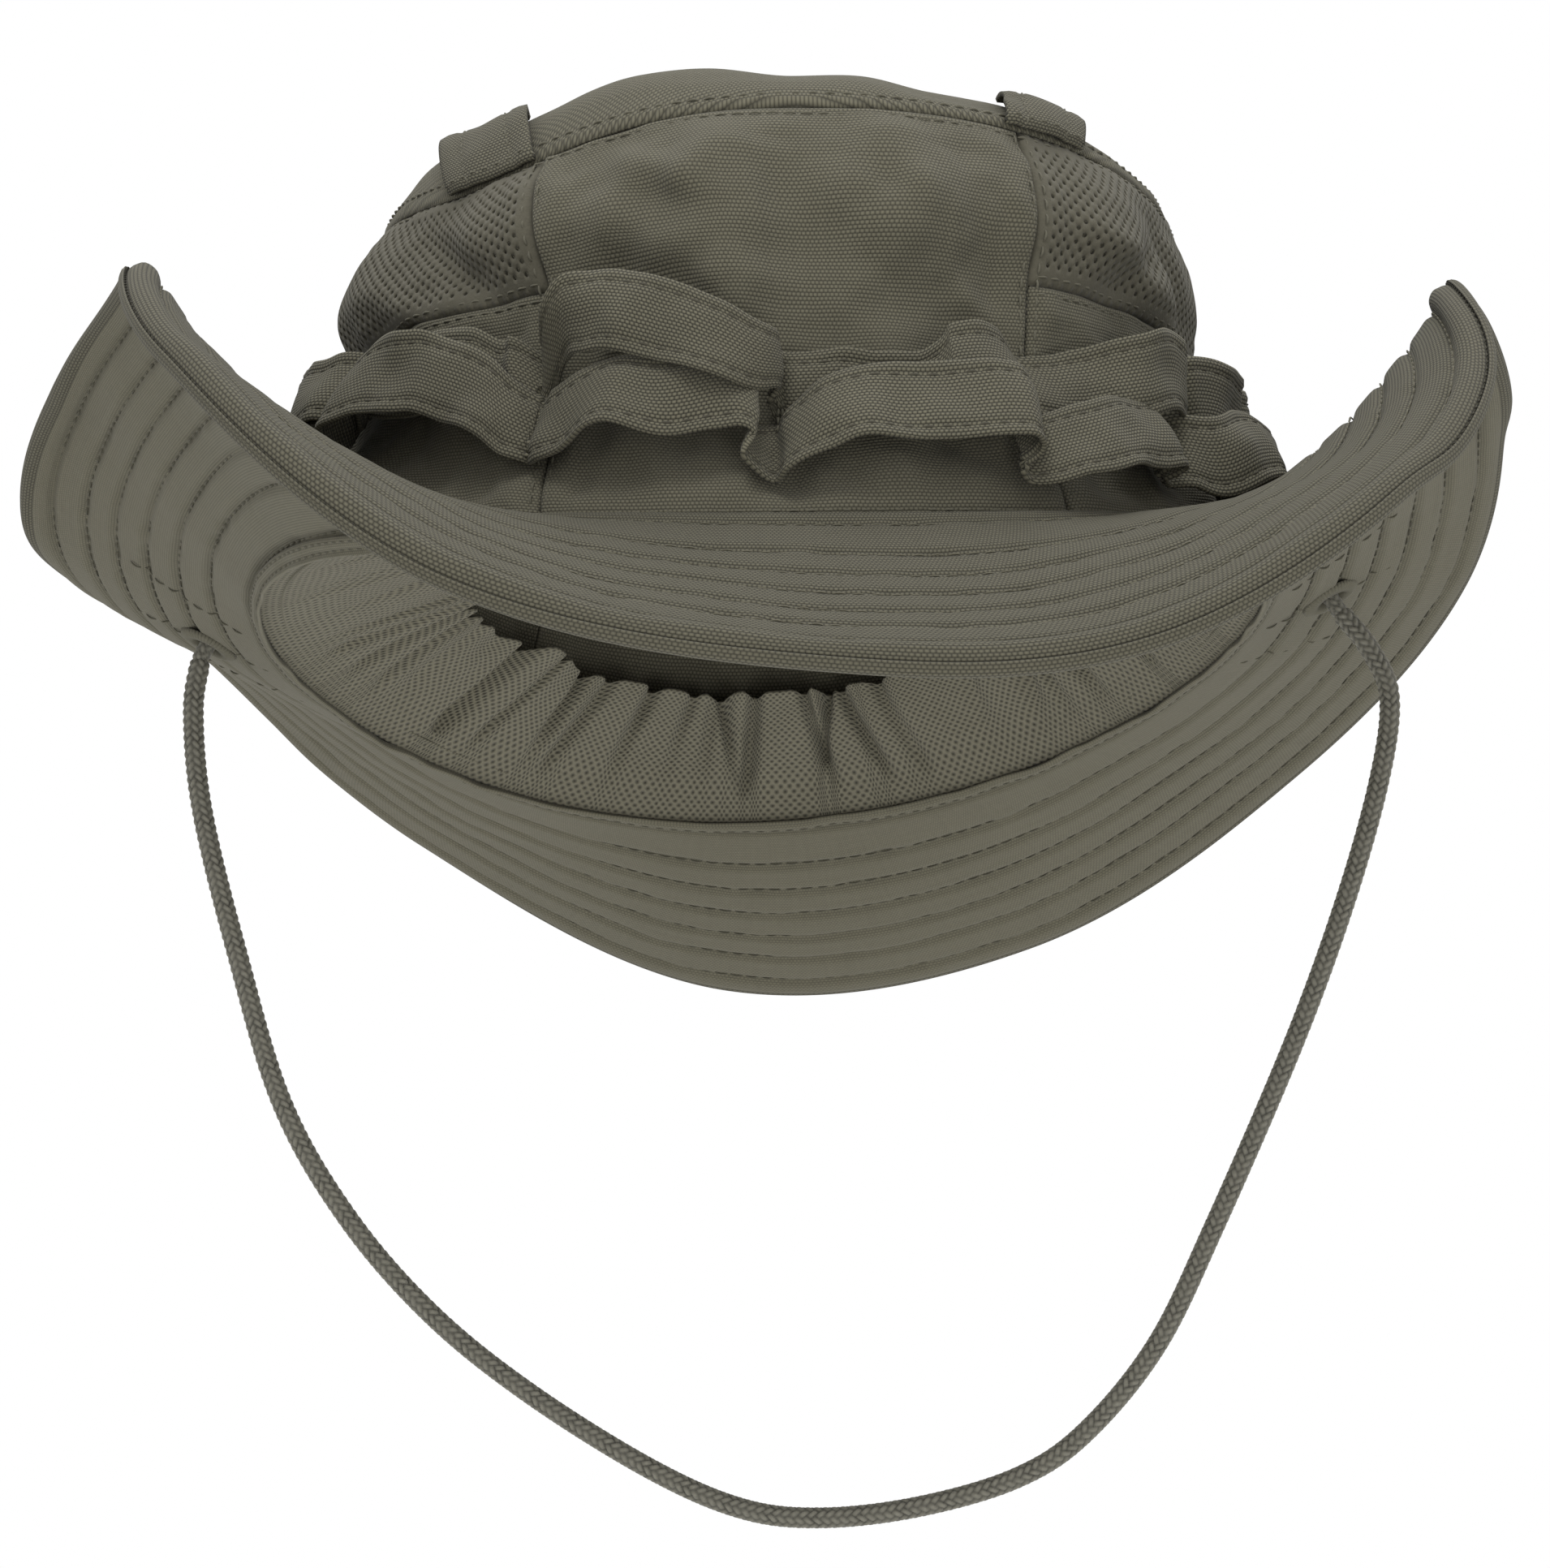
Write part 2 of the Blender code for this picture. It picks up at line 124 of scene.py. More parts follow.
def around(values, angle):
    """Values at angles in degrees, from even stations round the head."""
    values = np.asarray(values, float)
    place = np.mod(angle, 360.0) / 360.0 * len(values)
    first = np.floor(place).astype(int)
    near = [values[(first + step) % len(values)] for step in (-1, 0, 1, 2)]
    return spline(*near, place - first)


def along(values, part):
    """Values part of the way along a list of even steps from 0 to 1."""
    values = np.asarray(values, float)
    last = len(values) - 1
    place = np.clip(part, 0.0, 1.0) * last
    first = np.minimum(place.astype(int), last - 1)
    near = [values[np.clip(first + step, 0, last)] for step in (-1, 0, 1, 2)]
    shape = (...,) + (None,) * (values.ndim - 1)
    return spline(*near, (place - first)[shape])


def unit(vectors):
    """The same vectors with length 1."""
    return vectors / np.maximum(np.linalg.norm(vectors, axis=-1, keepdims=True), 1e-12)


def smooth(part):
    """Smooth step of values from 0 to 1."""
    part = np.clip(part, 0.0, 1.0)
    return part * part * (3 - 2 * part)


def noise(points, size, seed):
    """Smooth random values from -1 to 1, size millimetres from bump to bump."""
    table = np.random.default_rng(seed).uniform(-1, 1, (32, 32, 32))
    place = np.asarray(points) / size
    cell = np.floor(place).astype(int)
    part = smooth(place - cell)
    total = 0.0
    for corner in np.ndindex(2, 2, 2):
        weight = np.prod(np.where(corner, part, 1 - part), axis=-1)
        index = (cell + corner) % 32
        total = total + weight * table[index[..., 0], index[..., 1], index[..., 2]]
    return total * 1.6


def ripples(points, *waves):
    """Sum of smooth random waves, each given as its height, size and seed."""
    return sum(height * noise(points, size, seed) for height, size, seed in waves)


class Surface:
    """A smooth sheet, sampled on a fine grid and read between its points."""

    def __init__(self, rows, columns, points, side):
        self.rows = rows
        self.columns = columns
        self.points = points
        across = np.gradient(points, rows, axis=0)
        up = np.gradient(points, columns, axis=1)
        self.normals = unit(np.cross(across, up)) * side

    def at(self, row, column):
        """Points and unit normals at pairs of rows and columns."""
        row, column = np.broadcast_arrays(row, column)
        row = (row - self.rows[0]) / (self.rows[1] - self.rows[0])
        column = (column - self.columns[0]) / (self.columns[1] - self.columns[0])
        row = np.clip(row, 0, len(self.rows) - 1.001)
        column = np.clip(column, 0, len(self.columns) - 1.001)
        i, j = row.astype(int), column.astype(int)
        s, t = (row - i)[..., None], (column - j)[..., None]
        found = []
        for table in (self.points, self.normals):
            low = table[i, j] * (1 - s) + table[i + 1, j] * s
            high = table[i, j + 1] * (1 - s) + table[i + 1, j + 1] * s
            found.append(low * (1 - t) + high * t)
        return found[0], unit(found[1])


def wrapped(angle):
    """Angles brought into -180 to 180."""
    return np.mod(np.asarray(angle) + 180.0, 360.0) - 180.0


# ---- base surfaces

def heading(angle):
    """Level unit vectors straight out of the head opening."""
    turn = np.radians(angle)
    out = [np.sin(turn) / HEAD_HALF_WIDTH, -np.cos(turn) / HEAD_HALF_DEPTH, 0 * turn]
    return unit(np.stack(out, -1))


SURFACE_ANGLES = np.linspace(-181, 181, 725)


def opening_height(angle):
    """Height of the head opening's edge."""
    return SIDE_LIFT * (1 - np.cos(2 * np.radians(angle))) / 2


def brim_surface():
    """Middle surface of the brim, by angle and by reach out from the crown."""
    angles = SURFACE_ANGLES
    reaches = np.linspace(0, BRIM_WIDTH + 2, 125)
    turn = np.radians(angles)
    root = np.stack([HEAD_HALF_WIDTH * np.sin(turn), -HEAD_HALF_DEPTH * np.cos(turn),
                     opening_height(angles)], -1)
    step = reaches[1]
    part = (reaches[1:] - step / 2) / BRIM_WIDTH
    tilt = around(BRIM_SLOPES, angles)[:, None] + around(BRIM_BENDS, angles)[:, None] * (0.5 - part)
    tilt = tilt - EDGE_CURL * (part ** 4 - 0.2)
    for angle, half, start, bend in LIP_TURNS:
        near = np.exp(-(wrapped(angles - angle) / half) ** 4)[:, None]
        tilt = tilt + bend * near * smooth((part - start) / (1 - start))
    tilt = np.radians(tilt)
    trim = 1 - TIP_TRIM * np.exp(-(wrapped(angles - TIP_ANGLE) / 17) ** 2)[:, None]
    out = np.cumsum(np.cos(tilt), axis=1) * step * trim
    up = np.cumsum(np.sin(tilt), axis=1) * step * trim
    points = np.repeat(root[:, None], len(reaches), axis=1)
    points[:, 1:] += heading(angles)[:, None] * out[..., None]
    points[:, 1:, 2] += up
    return Surface(angles, reaches, points, -1)


# Soft folds of the crown: angle and level of each end, half width and height in
# millimetres before the gain. A negative height is a hollow.
FOLD_GAIN = 2.3
CROWN_FOLDS = (
    (-12, 0.98, -8, 0.45, 9, 1.6), (2, 0.95, -2, 0.5, 10, -1.5), (14, 0.9, 16, 0.5, 9, 1.2),
    (-27, 0.84, -10, 0.72, 4, -1.3), (-24, 0.70, -12, 0.62, 4, 1.0), (-30, 0.55, -22, 0.85, 5, 1.0),
    (26, 0.85, 29, 0.4, 6, -1.0), (20, 0.60, 30, 0.50, 4, 0.8),
    (-42, 0.62, -58, 0.86, 4, -1.4), (-50, 0.55, -70, 0.75, 5, 1.3), (-62, 0.5, -80, 0.62, 5, -1.5),
    (46, 0.62, 60, 0.78, 4, -1.2), (42, 0.75, 66, 0.66, 4, 1.2), (60, 0.9, 74, 0.7, 5, -1.2),
    (55, 0.45, 80, 0.55, 5, 1.2), (-95, 0.4, -100, 0.9, 9, -2.0), (98, 0.45, 92, 0.9, 8, -1.8),
    (130, 0.5, 120, 0.9, 9, 1.8), (160, 0.45, 165, 0.85, 8, -1.6), (-160, 0.5, -150, 0.9, 8, 1.6),
    (-130, 0.4, -125, 0.8, 8, -1.8), (180, 0.5, 176, 0.95, 7, 1.2),
)


def fold_height(angles, levels, folds):
    """Height of soft folds laid along short lines on the crown."""
    arc = 1.35          # millimetres in one degree, where most folds are
    total = np.zeros(np.broadcast(angles, levels).shape)
    for angle_0, level_0, angle_1, level_1, width, height in folds:
        line = np.array([(angle_1 - angle_0) * arc, (level_1 - level_0) * CROWN_SEAM_HEIGHT])
        x = wrapped(angles - angle_0) * arc
        y = (levels - level_0) * CROWN_SEAM_HEIGHT
        place = np.clip((x * line[0] + y * line[1]) / (line @ line), 0, 1)
        gap = np.hypot(x - place * line[0], y - place * line[1])
        taper = 0.35 + 0.65 * np.sin(np.pi * place)
        total = total + height * taper * np.exp(-(gap / width) ** 2)
    return total


def corner_droop(angles):
    """How far the crown's top edge sinks at its corners."""
    left = 5.0 * np.exp(-(wrapped(angles + 50) / 22) ** 2)
    return left + 1.5 * np.exp(-(wrapped(angles - 62) / 20) ** 2)


def crown_surface():
    """Wall of the crown, by angle and by level from the brim to the top seam."""
    angles = SURFACE_ANGLES
    levels = np.linspace(0, 1, 161)
    turn = np.radians(angles)[:, None]
    wide, deep = along(CROWN_WIDTHS, levels), along(CROWN_DEPTHS, levels)
    x = wide * np.sin(turn) + CROWN_LEAN * levels
    y = -deep * np.cos(turn)
    z = opening_height(angles)[:, None] * (1 - levels) + CROWN_SEAM_HEIGHT * levels
    z = z - corner_droop(angles)[:, None] * levels ** 3
    points = np.stack([x, y, z + 0 * x], -1)
    bulge = fold_height(angles[:, None], levels[None], CROWN_FOLDS)
    bulge = FOLD_GAIN * bulge + ripples(points, (1.6, 22, 5), (0.5, 9, 6))
    bulge = bulge * smooth(levels / 0.12) * (1 - 0.7 * smooth((levels - 0.93) / 0.07))
    points += heading(angles)[:, None] * bulge[..., None]
    return Surface(angles, levels, points, 1)


def dome_surface():
    """Top of the crown, by angle and by spread from its middle to its seam."""
    angles = SURFACE_ANGLES
    spreads = np.linspace(0, 1, 161)
    turn = np.radians(angles)[:, None]
    x = CROWN_WIDTHS[-1] * np.sin(turn) * spreads
    y = -CROWN_DEPTHS[-1] * np.cos(turn) * spreads
    fall = 1 - spreads ** 4
    z = CROWN_SEAM_HEIGHT + DOME_RISE * fall ** 0.78 - DOME_TILT * x * fall
    points = np.stack([x, y, z], -1)
    points[..., 2] += ripples(points, (1.8, 30, 11), (0.6, 12, 12)) * smooth(fall * 3)
    points[..., 2] -= corner_droop(angles)[:, None] * spreads ** 3
    points[..., 0] += CROWN_LEAN
    made = Surface(angles, spreads, points, -1)
    made.normals[:, 0] = (0.0, 0.0, 1.0)
    return made


brim = brim_surface()
crown = crown_surface()
dome = dome_surface()


# ---- mesh helpers

def closed(line):
    """A line or grid of points that comes back to its first."""
    return np.concatenate([line, line[:1]])


def mesh_object(name, points, faces, uv, material):
    """Object from points in millimetres, its faces, and a UV in millimetres for each corner."""
    mesh = bpy.data.meshes.new(name)
    points = np.asarray(points, float).reshape(-1, 3) * MM
    mesh.from_pydata(points.tolist(), [], faces.tolist() if hasattr(faces, "tolist") else faces)
    if uv is not None:
        layer = mesh.uv_layers.new(name="cloth")
        layer.data.foreach_set("uv", np.asarray(uv, np.float32).ravel())
    mesh.materials.append(material)
    mesh.shade_smooth()
    mesh.validate()
    made = bpy.data.objects.new(name, mesh)
    bpy.context.scene.collection.objects.link(made)
    return made


def grid_object(name, points, uv, material, outward, ring=False, drop=None):
    """Sheet from a grid of points; outward is the side that shows."""
    index = np.arange(points.shape[0] * points.shape[1]).reshape(points.shape[:2])
    corners = closed(index) if ring else index
    rows, columns = np.indices((len(corners) - 1, corners.shape[1] - 1))
    steps = ((0, 0), (1, 0), (1, 1), (0, 1))
    faces = np.stack([corners[rows + i, columns + j] for i, j in steps], 2)
    face_uv = np.stack([uv[rows + i, columns + j] for i, j in steps], 2)
    flat = points.reshape(-1, 3)
    centre = faces.shape[0] // 2, faces.shape[1] // 2
    first, second, _, fourth = flat[faces[centre]]
    if np.cross(second - first, fourth - first) @ outward[centre] < 0:
        faces, face_uv = faces[..., ::-1], face_uv[:, :, ::-1]
    keep = np.ones(faces.shape[:2], bool) if drop is None else ~drop
    return mesh_object(name, flat, faces[keep], face_uv[keep], material)


def thicken(made, thickness):
    """Gives a sheet its real thickness, inwards from the side that shows."""
    solid = made.modifiers.new("Thickness", "SOLIDIFY")
    solid.thickness = thickness * MM
    solid.offset = -1.0
    solid.use_rim = True
    return made


def run_lengths(points):
    """Distance along a line of points, at each of them."""
    steps = np.linalg.norm(np.diff(points, axis=0), axis=-1)
    return np.concatenate([[0], np.cumsum(steps)])


def along_run(places, distance, values):
    """Rows of values at places along a line, from the distance of each row."""
    return np.stack([np.interp(places, distance, values[:, k]) for k in range(3)], -1)


def surface_uv(points, ring=False):
    """UV in millimetres for a grid: the distance along each of its two ways."""
    if ring:
        points = closed(points)
    middle = points.shape[1] // 2
    ways = run_lengths(points[:, middle]), run_lengths(points[0])
    return np.stack(np.meshgrid(*ways, indexing="ij"), -1)


def stitches(name, runs, length, gap, radius, material):
    """Short threads along lines of points: each dips into the cloth at its ends."""
    stations = np.linspace(0, 1, 5)
    centres, ups, ways = [], [], []
    for points, normals in runs:
        distance = run_lengths(points)
        count = int(distance[-1] / (length + gap))
        if count < 1:
            continue
        starts = (np.arange(count) + 0.5) / count * distance[-1] - length / 2
        place = starts[:, None] + stations * length
        centre = along_run(place, distance, points)
        up = unit(along_run(place, distance, normals))
        centres.append(centre + up * (radius * (1.6 * np.sin(np.pi * stations) - 0.9))[:, None])
        ups.append(up)
        ways.append(np.repeat((centre[:, -1:] - centre[:, :1]), 5, axis=1))
    centre, up, way = (np.concatenate(part) for part in (centres, ups, ways))
    way = unit(way)
    side = unit(np.cross(way, up))
    up = np.cross(side, way)
    turns = np.arange(6) * np.pi / 3
    width = radius * np.array([0.5, 1.0, 1.1, 1.0, 0.5])[:, None, None]
    rings = up[:, :, None] * np.cos(turns)[:, None] + side[:, :, None] * np.sin(turns)[:, None]
    index = np.arange(len(centre) * 30).reshape(-1, 5, 6)
    onward = np.roll(index, -1, axis=2)
    quads = np.stack([index[:, :-1], onward[:, :-1], onward[:, 1:], index[:, 1:]], -1)
    caps = np.concatenate([index[:, 0, ::-1], index[:, -1]])
    faces = quads.reshape(-1, 4).tolist() + caps.tolist()
    return mesh_object(name, centre[:, :, None] + rings * width, faces, None, material)


def cut_cloth(points, ring=False):
    """Works out the length, width and area that a sewn cloth part unrolls to, and keeps none of them."""
    if ring:
        points = closed(points)
    along_rows = np.diff(points, axis=0)
    along_columns = np.diff(points, axis=1)
    length = np.linalg.norm(along_rows, axis=-1).sum(0).max()
    width = np.linalg.norm(along_columns, axis=-1).sum(1).max()
    area = np.linalg.norm(np.cross(along_rows[:, :-1], along_columns[:-1]), axis=-1).sum()
    if ring:
        spans = np.ptp(points.reshape(-1, 3), axis=0)
        width, length = spans[0], max(spans[1], area / spans[0])
    area = min(area, width * length)


def place(made, body, slot, *nodes):
    """Rides a piece on its body and hides the nodes it stands for; its slot, the finish, is not used."""
    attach(made, body)
    if nodes:
        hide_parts(*nodes)
    return made


def cloth(name, points, material, outward, thickness, slot, node, ring=False):
    """A sewn cloth part from a grid of points, with its thickness, on the hat."""
    made = grid_object(name, points, surface_uv(points, ring), material, outward, ring)
    return place(thicken(made, thickness), "hat", slot, node)


def sew(name, runs, length, gap, radius, material):
    """Rows of stitches that ride on the hat."""
    place(stitches(name, runs, length, gap, radius, material), "hat", "olive_thread")


# ---- materials

class Shader:
    """A material with its principled shader and short calls for pattern maths."""

    def __init__(self, name, roughness, sheen):
        self.material = bpy.data.materials.new(name)
        self.material.use_nodes = True
        self.tree = self.material.node_tree
        self.shader = self.tree.nodes["Principled BSDF"]
        self.shader.inputs["Roughness"].default_value = roughness
        self.shader.inputs["Specular IOR Level"].default_value = 0.25
        self.shader.inputs["Sheen Weight"].default_value = sheen
        self.shader.inputs["Sheen Roughness"].default_value = 0.6

    def put(self, socket, value):
        """Links a socket to an output, or sets its value."""
        if isinstance(value, bpy.types.NodeSocket):
            self.tree.links.new(value, socket)
        else:
            socket.default_value = value

    def maths(self, operation, first, second=0.0, third=0.0):
        """Output of a Math node."""
        node = self.tree.nodes.new("ShaderNodeMath")
        node.operation = operation
        for socket, value in zip(node.inputs, (first, second, third)):
            self.put(socket, value)
        return node.outputs[0]

    def noise(self, scale, detail, stretch=(1, 1, 1), coordinates="Object"):
        """Output of a Noise Texture, by object place or by cloth UV."""
        texture = self.tree.nodes.new("ShaderNodeTexNoise")
        mapping = self.tree.nodes.new("ShaderNodeMapping")
        mapping.inputs["Scale"].default_value = stretch
        if coordinates == "Object":
            source = self.tree.nodes.new("ShaderNodeTexCoord").outputs["Object"]
        else:
            source = self.cloth_uv()
        self.put(mapping.inputs["Vector"], source)
        self.put(texture.inputs["Vector"], mapping.outputs[0])
        texture.inputs["Scale"].default_value = scale
        texture.inputs["Detail"].default_value = detail
        return texture.outputs["Fac"]

    def cloth_uv(self):
        """The cloth's UV, in millimetres."""
        node = self.tree.nodes.new("ShaderNodeUVMap")
        node.uv_map = "cloth"
        return node.outputs[0]

    def cloth_axes(self):
        """The two parts of the cloth's UV."""
        node = self.tree.nodes.new("ShaderNodeSeparateXYZ")
        self.put(node.inputs[0], self.cloth_uv())
        return node.outputs[0], node.outputs[1]

    def tint(self, colour, factor):
        """Colours the surface, times a brightness factor."""
        scale = self.tree.nodes.new("ShaderNodeVectorMath")
        scale.operation = "SCALE"
        scale.inputs[0].default_value = colour
        self.put(scale.inputs["Scale"], factor)
        self.tree.links.new(scale.outputs[0], self.shader.inputs["Base Color"])

    def bump(self, height, distance, strength=1.0, under=None):
        """Adds relief of that many millimetres."""
        node = self.tree.nodes.new("ShaderNodeBump")
        node.inputs["Strength"].default_value = strength
        node.inputs["Distance"].default_value = distance * MM
        self.put(node.inputs["Height"], height)
        if under is not None:
            self.put(node.inputs["Normal"], under)
        self.put(self.shader.inputs["Normal"], node.outputs[0])
        return node.outputs[0]

    def mottle(self, amount, fibre):
        """Brightness factor near 1: soft patches, and the finer fleck of fibres."""
        patches = self.maths("MULTIPLY_ADD", self.noise(22, 3), amount, 1 - amount / 2)
        flecks = self.maths("MULTIPLY_ADD", self.noise(1500, 2), fibre, 1 - fibre / 2)
        return self.maths("MULTIPLY", patches, flecks)


def woven(name, colour, pitch, gap_shade, relief, roughness=0.95):
    """Plain weave: two sets of threads, pitch millimetres apart, with painted shade in the gaps between
    them.
    """
    s = Shader(name, roughness, 0.04)
    u, v = s.cloth_axes()
    wander = s.maths("MULTIPLY_ADD", s.noise(0.35, 2, coordinates="UV"), 0.5, -0.25)
    x = s.maths("ADD", s.maths("MULTIPLY", u, math.pi / pitch[0]), wander)
    y = s.maths("ADD", s.maths("MULTIPLY", v, math.pi / pitch[1]), wander)
    row = s.maths("FLOOR", s.maths("MULTIPLY_ADD", y, 1 / math.pi, 0.5))
    x = s.maths("MULTIPLY_ADD", row, math.pi / 2, x)
    cos_x, cos_y = s.maths("COSINE", x), s.maths("COSINE", y)
    warp, weft = s.maths("ABSOLUTE", cos_x), s.maths("ABSOLUTE", cos_y)
    height = s.maths("MULTIPLY", s.maths("ADD", warp, weft), 0.45)
    crossing = s.maths("POWER", s.maths("MULTIPLY", warp, weft), 0.7)
    slub = s.maths("ADD", s.noise(1.0, 2, (1.6, 0.05, 1), "UV"), s.noise(1.0, 2, (0.05, 1.6, 1), "UV"))
    slub = s.maths("MULTIPLY_ADD", slub, 0.16, 1 - 0.16)
    # Painted shade: the colour darkens in the gaps between the threads and lightens where they cross.
    shade = s.maths("MULTIPLY_ADD", crossing, 2 * gap_shade, 1.0 - gap_shade)
    s.tint(colour, s.maths("MULTIPLY", s.maths("MULTIPLY", shade, slub), s.mottle(0.10, 0.18)))
    s.bump(height, relief)
    return s.material


def knitted(name, colour, lattice, radius, hole_shade, relief):
    """Knitted mesh: staggered rows of small holes, as a pattern in the cloth's UV."""
    s = Shader(name, 0.95, 0.04)
    u, v = s.cloth_axes()
    distances = []
    for shift in (0.0, 0.5):
        x = s.maths("FRACT", s.maths("MULTIPLY_ADD", u, 1 / lattice[0], shift))
        y = s.maths("FRACT", s.maths("MULTIPLY_ADD", v, 1 / lattice[1], shift))
        x = s.maths("MULTIPLY", s.maths("SUBTRACT", x, 0.5), lattice[0])
        y = s.maths("MULTIPLY", s.maths("SUBTRACT", y, 0.5), lattice[1])
        square = s.maths("ADD", s.maths("MULTIPLY", x, x), s.maths("MULTIPLY", y, y))
        distances.append(s.maths("SQRT", square))
    nearest = s.maths("MINIMUM", *distances)
    away = s.maths("SMOOTH_MIN", s.maths("DIVIDE", nearest, radius * 1.5), 1.0, 0.2)
    hole = s.maths("MAXIMUM", s.maths("SUBTRACT", 1.0, away), 0.0)
    shade = s.maths("MULTIPLY_ADD", hole, -hole_shade, 1.0)
    s.tint(colour, s.maths("MULTIPLY", shade, s.mottle(0.08, 0.25)))
    s.bump(s.maths("SUBTRACT", s.noise(1800, 1), s.maths("MULTIPLY", hole, 2.0)), relief)
    return s.material


def fibrous(name, colour, roughness, relief, fibre=0.3):
    """Plain fibrous surface, for threads, felt and the cord."""
    s = Shader(name, roughness, 0.05)
    s.tint(colour, s.mottle(0.08, fibre))
    s.bump(s.noise(2500, 2), relief)
    return s.material


def braided(name, colour):
    """Braided cord: colour lighter on the strands and darker in the grooves between them, a painted
    highlight and painted shade that follow the braid's relief.
    """
    s = Shader(name, 0.6, 0.08)
    height = s.tree.nodes.new("ShaderNodeAttribute")
    height.attribute_name = "braid_painted_shade"
    # Painted shade and highlight: the colour follows the height of the strands, darker in the grooves.
    shade = s.maths("MULTIPLY_ADD", height.outputs["Fac"], 0.95, 0.28)
    s.tint(colour, s.maths("MULTIPLY", shade, s.mottle(0.08, 0.5)))
    s.bump(s.noise(2500, 2), 0.06)
    return s.material


def darker(colour, share):
    """A colour at a share of its brightness."""
    return tuple(share * part for part in colour)


CANVAS = (0.0860, 0.0802, 0.0566)
TWILL = (0.104, 0.0970, 0.0690)
# The fourth number of each weave sets how strong its painted shade between the threads is.
canvas = woven("olive_canvas_weave", CANVAS, (0.72, 0.64), 0.55, 0.22)
canvas_strap = woven("olive_canvas_strap", darker(CANVAS, 0.94), (0.84, 0.66), 0.78, 0.24)
# The brim's top cloth is the crown's canvas made darker: painted shade on the brim's top.
brim_canvas_shaded = woven("olive_canvas_brim_painted_shade", darker(CANVAS, 0.84), (0.80, 0.66), 0.60, 0.22)
edging = woven("olive_brim_edging", darker(CANVAS, 0.82), (0.80, 0.66), 0.55, 0.15)
twill = woven("olive_twill_weave", TWILL, (0.62, 0.50), 0.26, 0.08)
vent_cloth = fibrous("olive_vent_knit", (0.080, 0.0742, 0.0535), 0.95, 0.10)
band_mesh = knitted("olive_sweatband_knit", (0.140, 0.1305, 0.0945), (1.45, 1.7), 0.34, 0.85, 0.15)
thread_top = fibrous("olive_thread_top", (0.120, 0.112, 0.080), 0.9, 0.05)
thread_dull = fibrous("olive_thread_dull", (0.100, 0.094, 0.068), 0.85, 0.05)
thread_under = fibrous("olive_thread_brim", (0.078, 0.073, 0.052), 0.9, 0.05)
thread_band = fibrous("olive_thread_band", (0.052, 0.048, 0.034), 0.9, 0.05)
# Near-black edge threads: painted shade of the groove along the brim's edge seam.
edge_thread_shaded = fibrous("olive_thread_edge_painted_shade", (0.028, 0.026, 0.018), 0.95, 0.05)
braid = braided("olive_braid_fibre", (0.135, 0.129, 0.103))
felt = fibrous("brim_felt_fibre", (0.150, 0.140, 0.110), 0.97, 0.10)


# ---- camera, light, floor

def add_camera():
    """Camera in front of the hat and below it."""
    data = bpy.data.cameras.new("camera")
    data.sensor_width = CAMERA_SENSOR
    data.lens = CAMERA_LENS
    data.shift_x, data.shift_y = CAMERA_SHIFT
    pitch, yaw = math.radians(CAMERA_PITCH), math.radians(CAMERA_YAW)
    ahead = Vector((math.cos(pitch) * math.sin(yaw), math.cos(pitch) * math.cos(yaw), math.sin(pitch)))
    camera = bpy.data.objects.new("camera", data)
    turn = ahead.to_track_quat("-Z", "Y").to_matrix().to_4x4()
    turn = turn @ Matrix.Rotation(math.radians(CAMERA_ROLL), 4, "Z")
    camera.matrix_world = Matrix.Translation(-ahead * CAMERA_DISTANCE) @ turn
    bpy.context.scene.collection.objects.link(camera)
    bpy.context.scene.camera = camera


def add_area(name, location, size, power):
    """Soft area light that faces the hat."""
    data = bpy.data.lights.new(name, "AREA")
    data.shape = "DISK"
    data.size = size
    data.energy = power
    light = bpy.data.objects.new(name, data)
    light.location = location
    ahead = Vector(LIGHT_TARGET) - Vector(location)
    light.rotation_euler = ahead.to_track_quat("-Z", "Y").to_euler()
    bpy.context.scene.collection.objects.link(light)


# Soft lights: name, place and size in metres, and power in watts.
LIGHTS = (
    ("key_light", (-0.4, -1.3, 1.7), 0.8, 17),
    ("low_light", (0.15, -0.6, -0.37), 0.25, 1.1),
    ("top_light", (0.2, 0.3, 1.8), 1.0, 14),
)
LIGHT_TARGET = (0, 0, 0.03)
FLOOR_HEIGHT = -0.4


def add_studio():
    """White surroundings, a pale floor and three soft lights."""
    bpy.context.scene.view_settings.view_transform = "Standard"
    world = bpy.data.worlds.new("studio")
    world.use_nodes = True
    background = world.node_tree.nodes["Background"]
    background.inputs["Color"].default_value = (1.0, 1.0, 1.0, 1.0)
    background.inputs["Strength"].default_value = 1.0
    bpy.context.scene.world = world
    for light in LIGHTS:
        add_area(*light)
    bpy.ops.mesh.primitive_plane_add(size=8, location=(0, 0, FLOOR_HEIGHT))
    floor = bpy.context.object
    floor.name = "floor"
    s = Shader("pale_floor", 0.9, 0.0)
    s.tint((0.82, 0.82, 0.81), s.maths("MULTIPLY_ADD", s.noise(3, 2), 0.02, 0.99))
    floor.data.materials.append(s.material)


add_camera()
add_studio()


# ---- brim

def row_dip(reach, sharpness=1.0):
    """1 on a stitch row of the brim, falling to 0 beside it."""
    gaps = [np.abs(reach - row) for row in STITCH_ROWS]
    return np.exp(-(np.min(gaps, axis=0) / (ROW_WIDTH * sharpness)) ** 2)


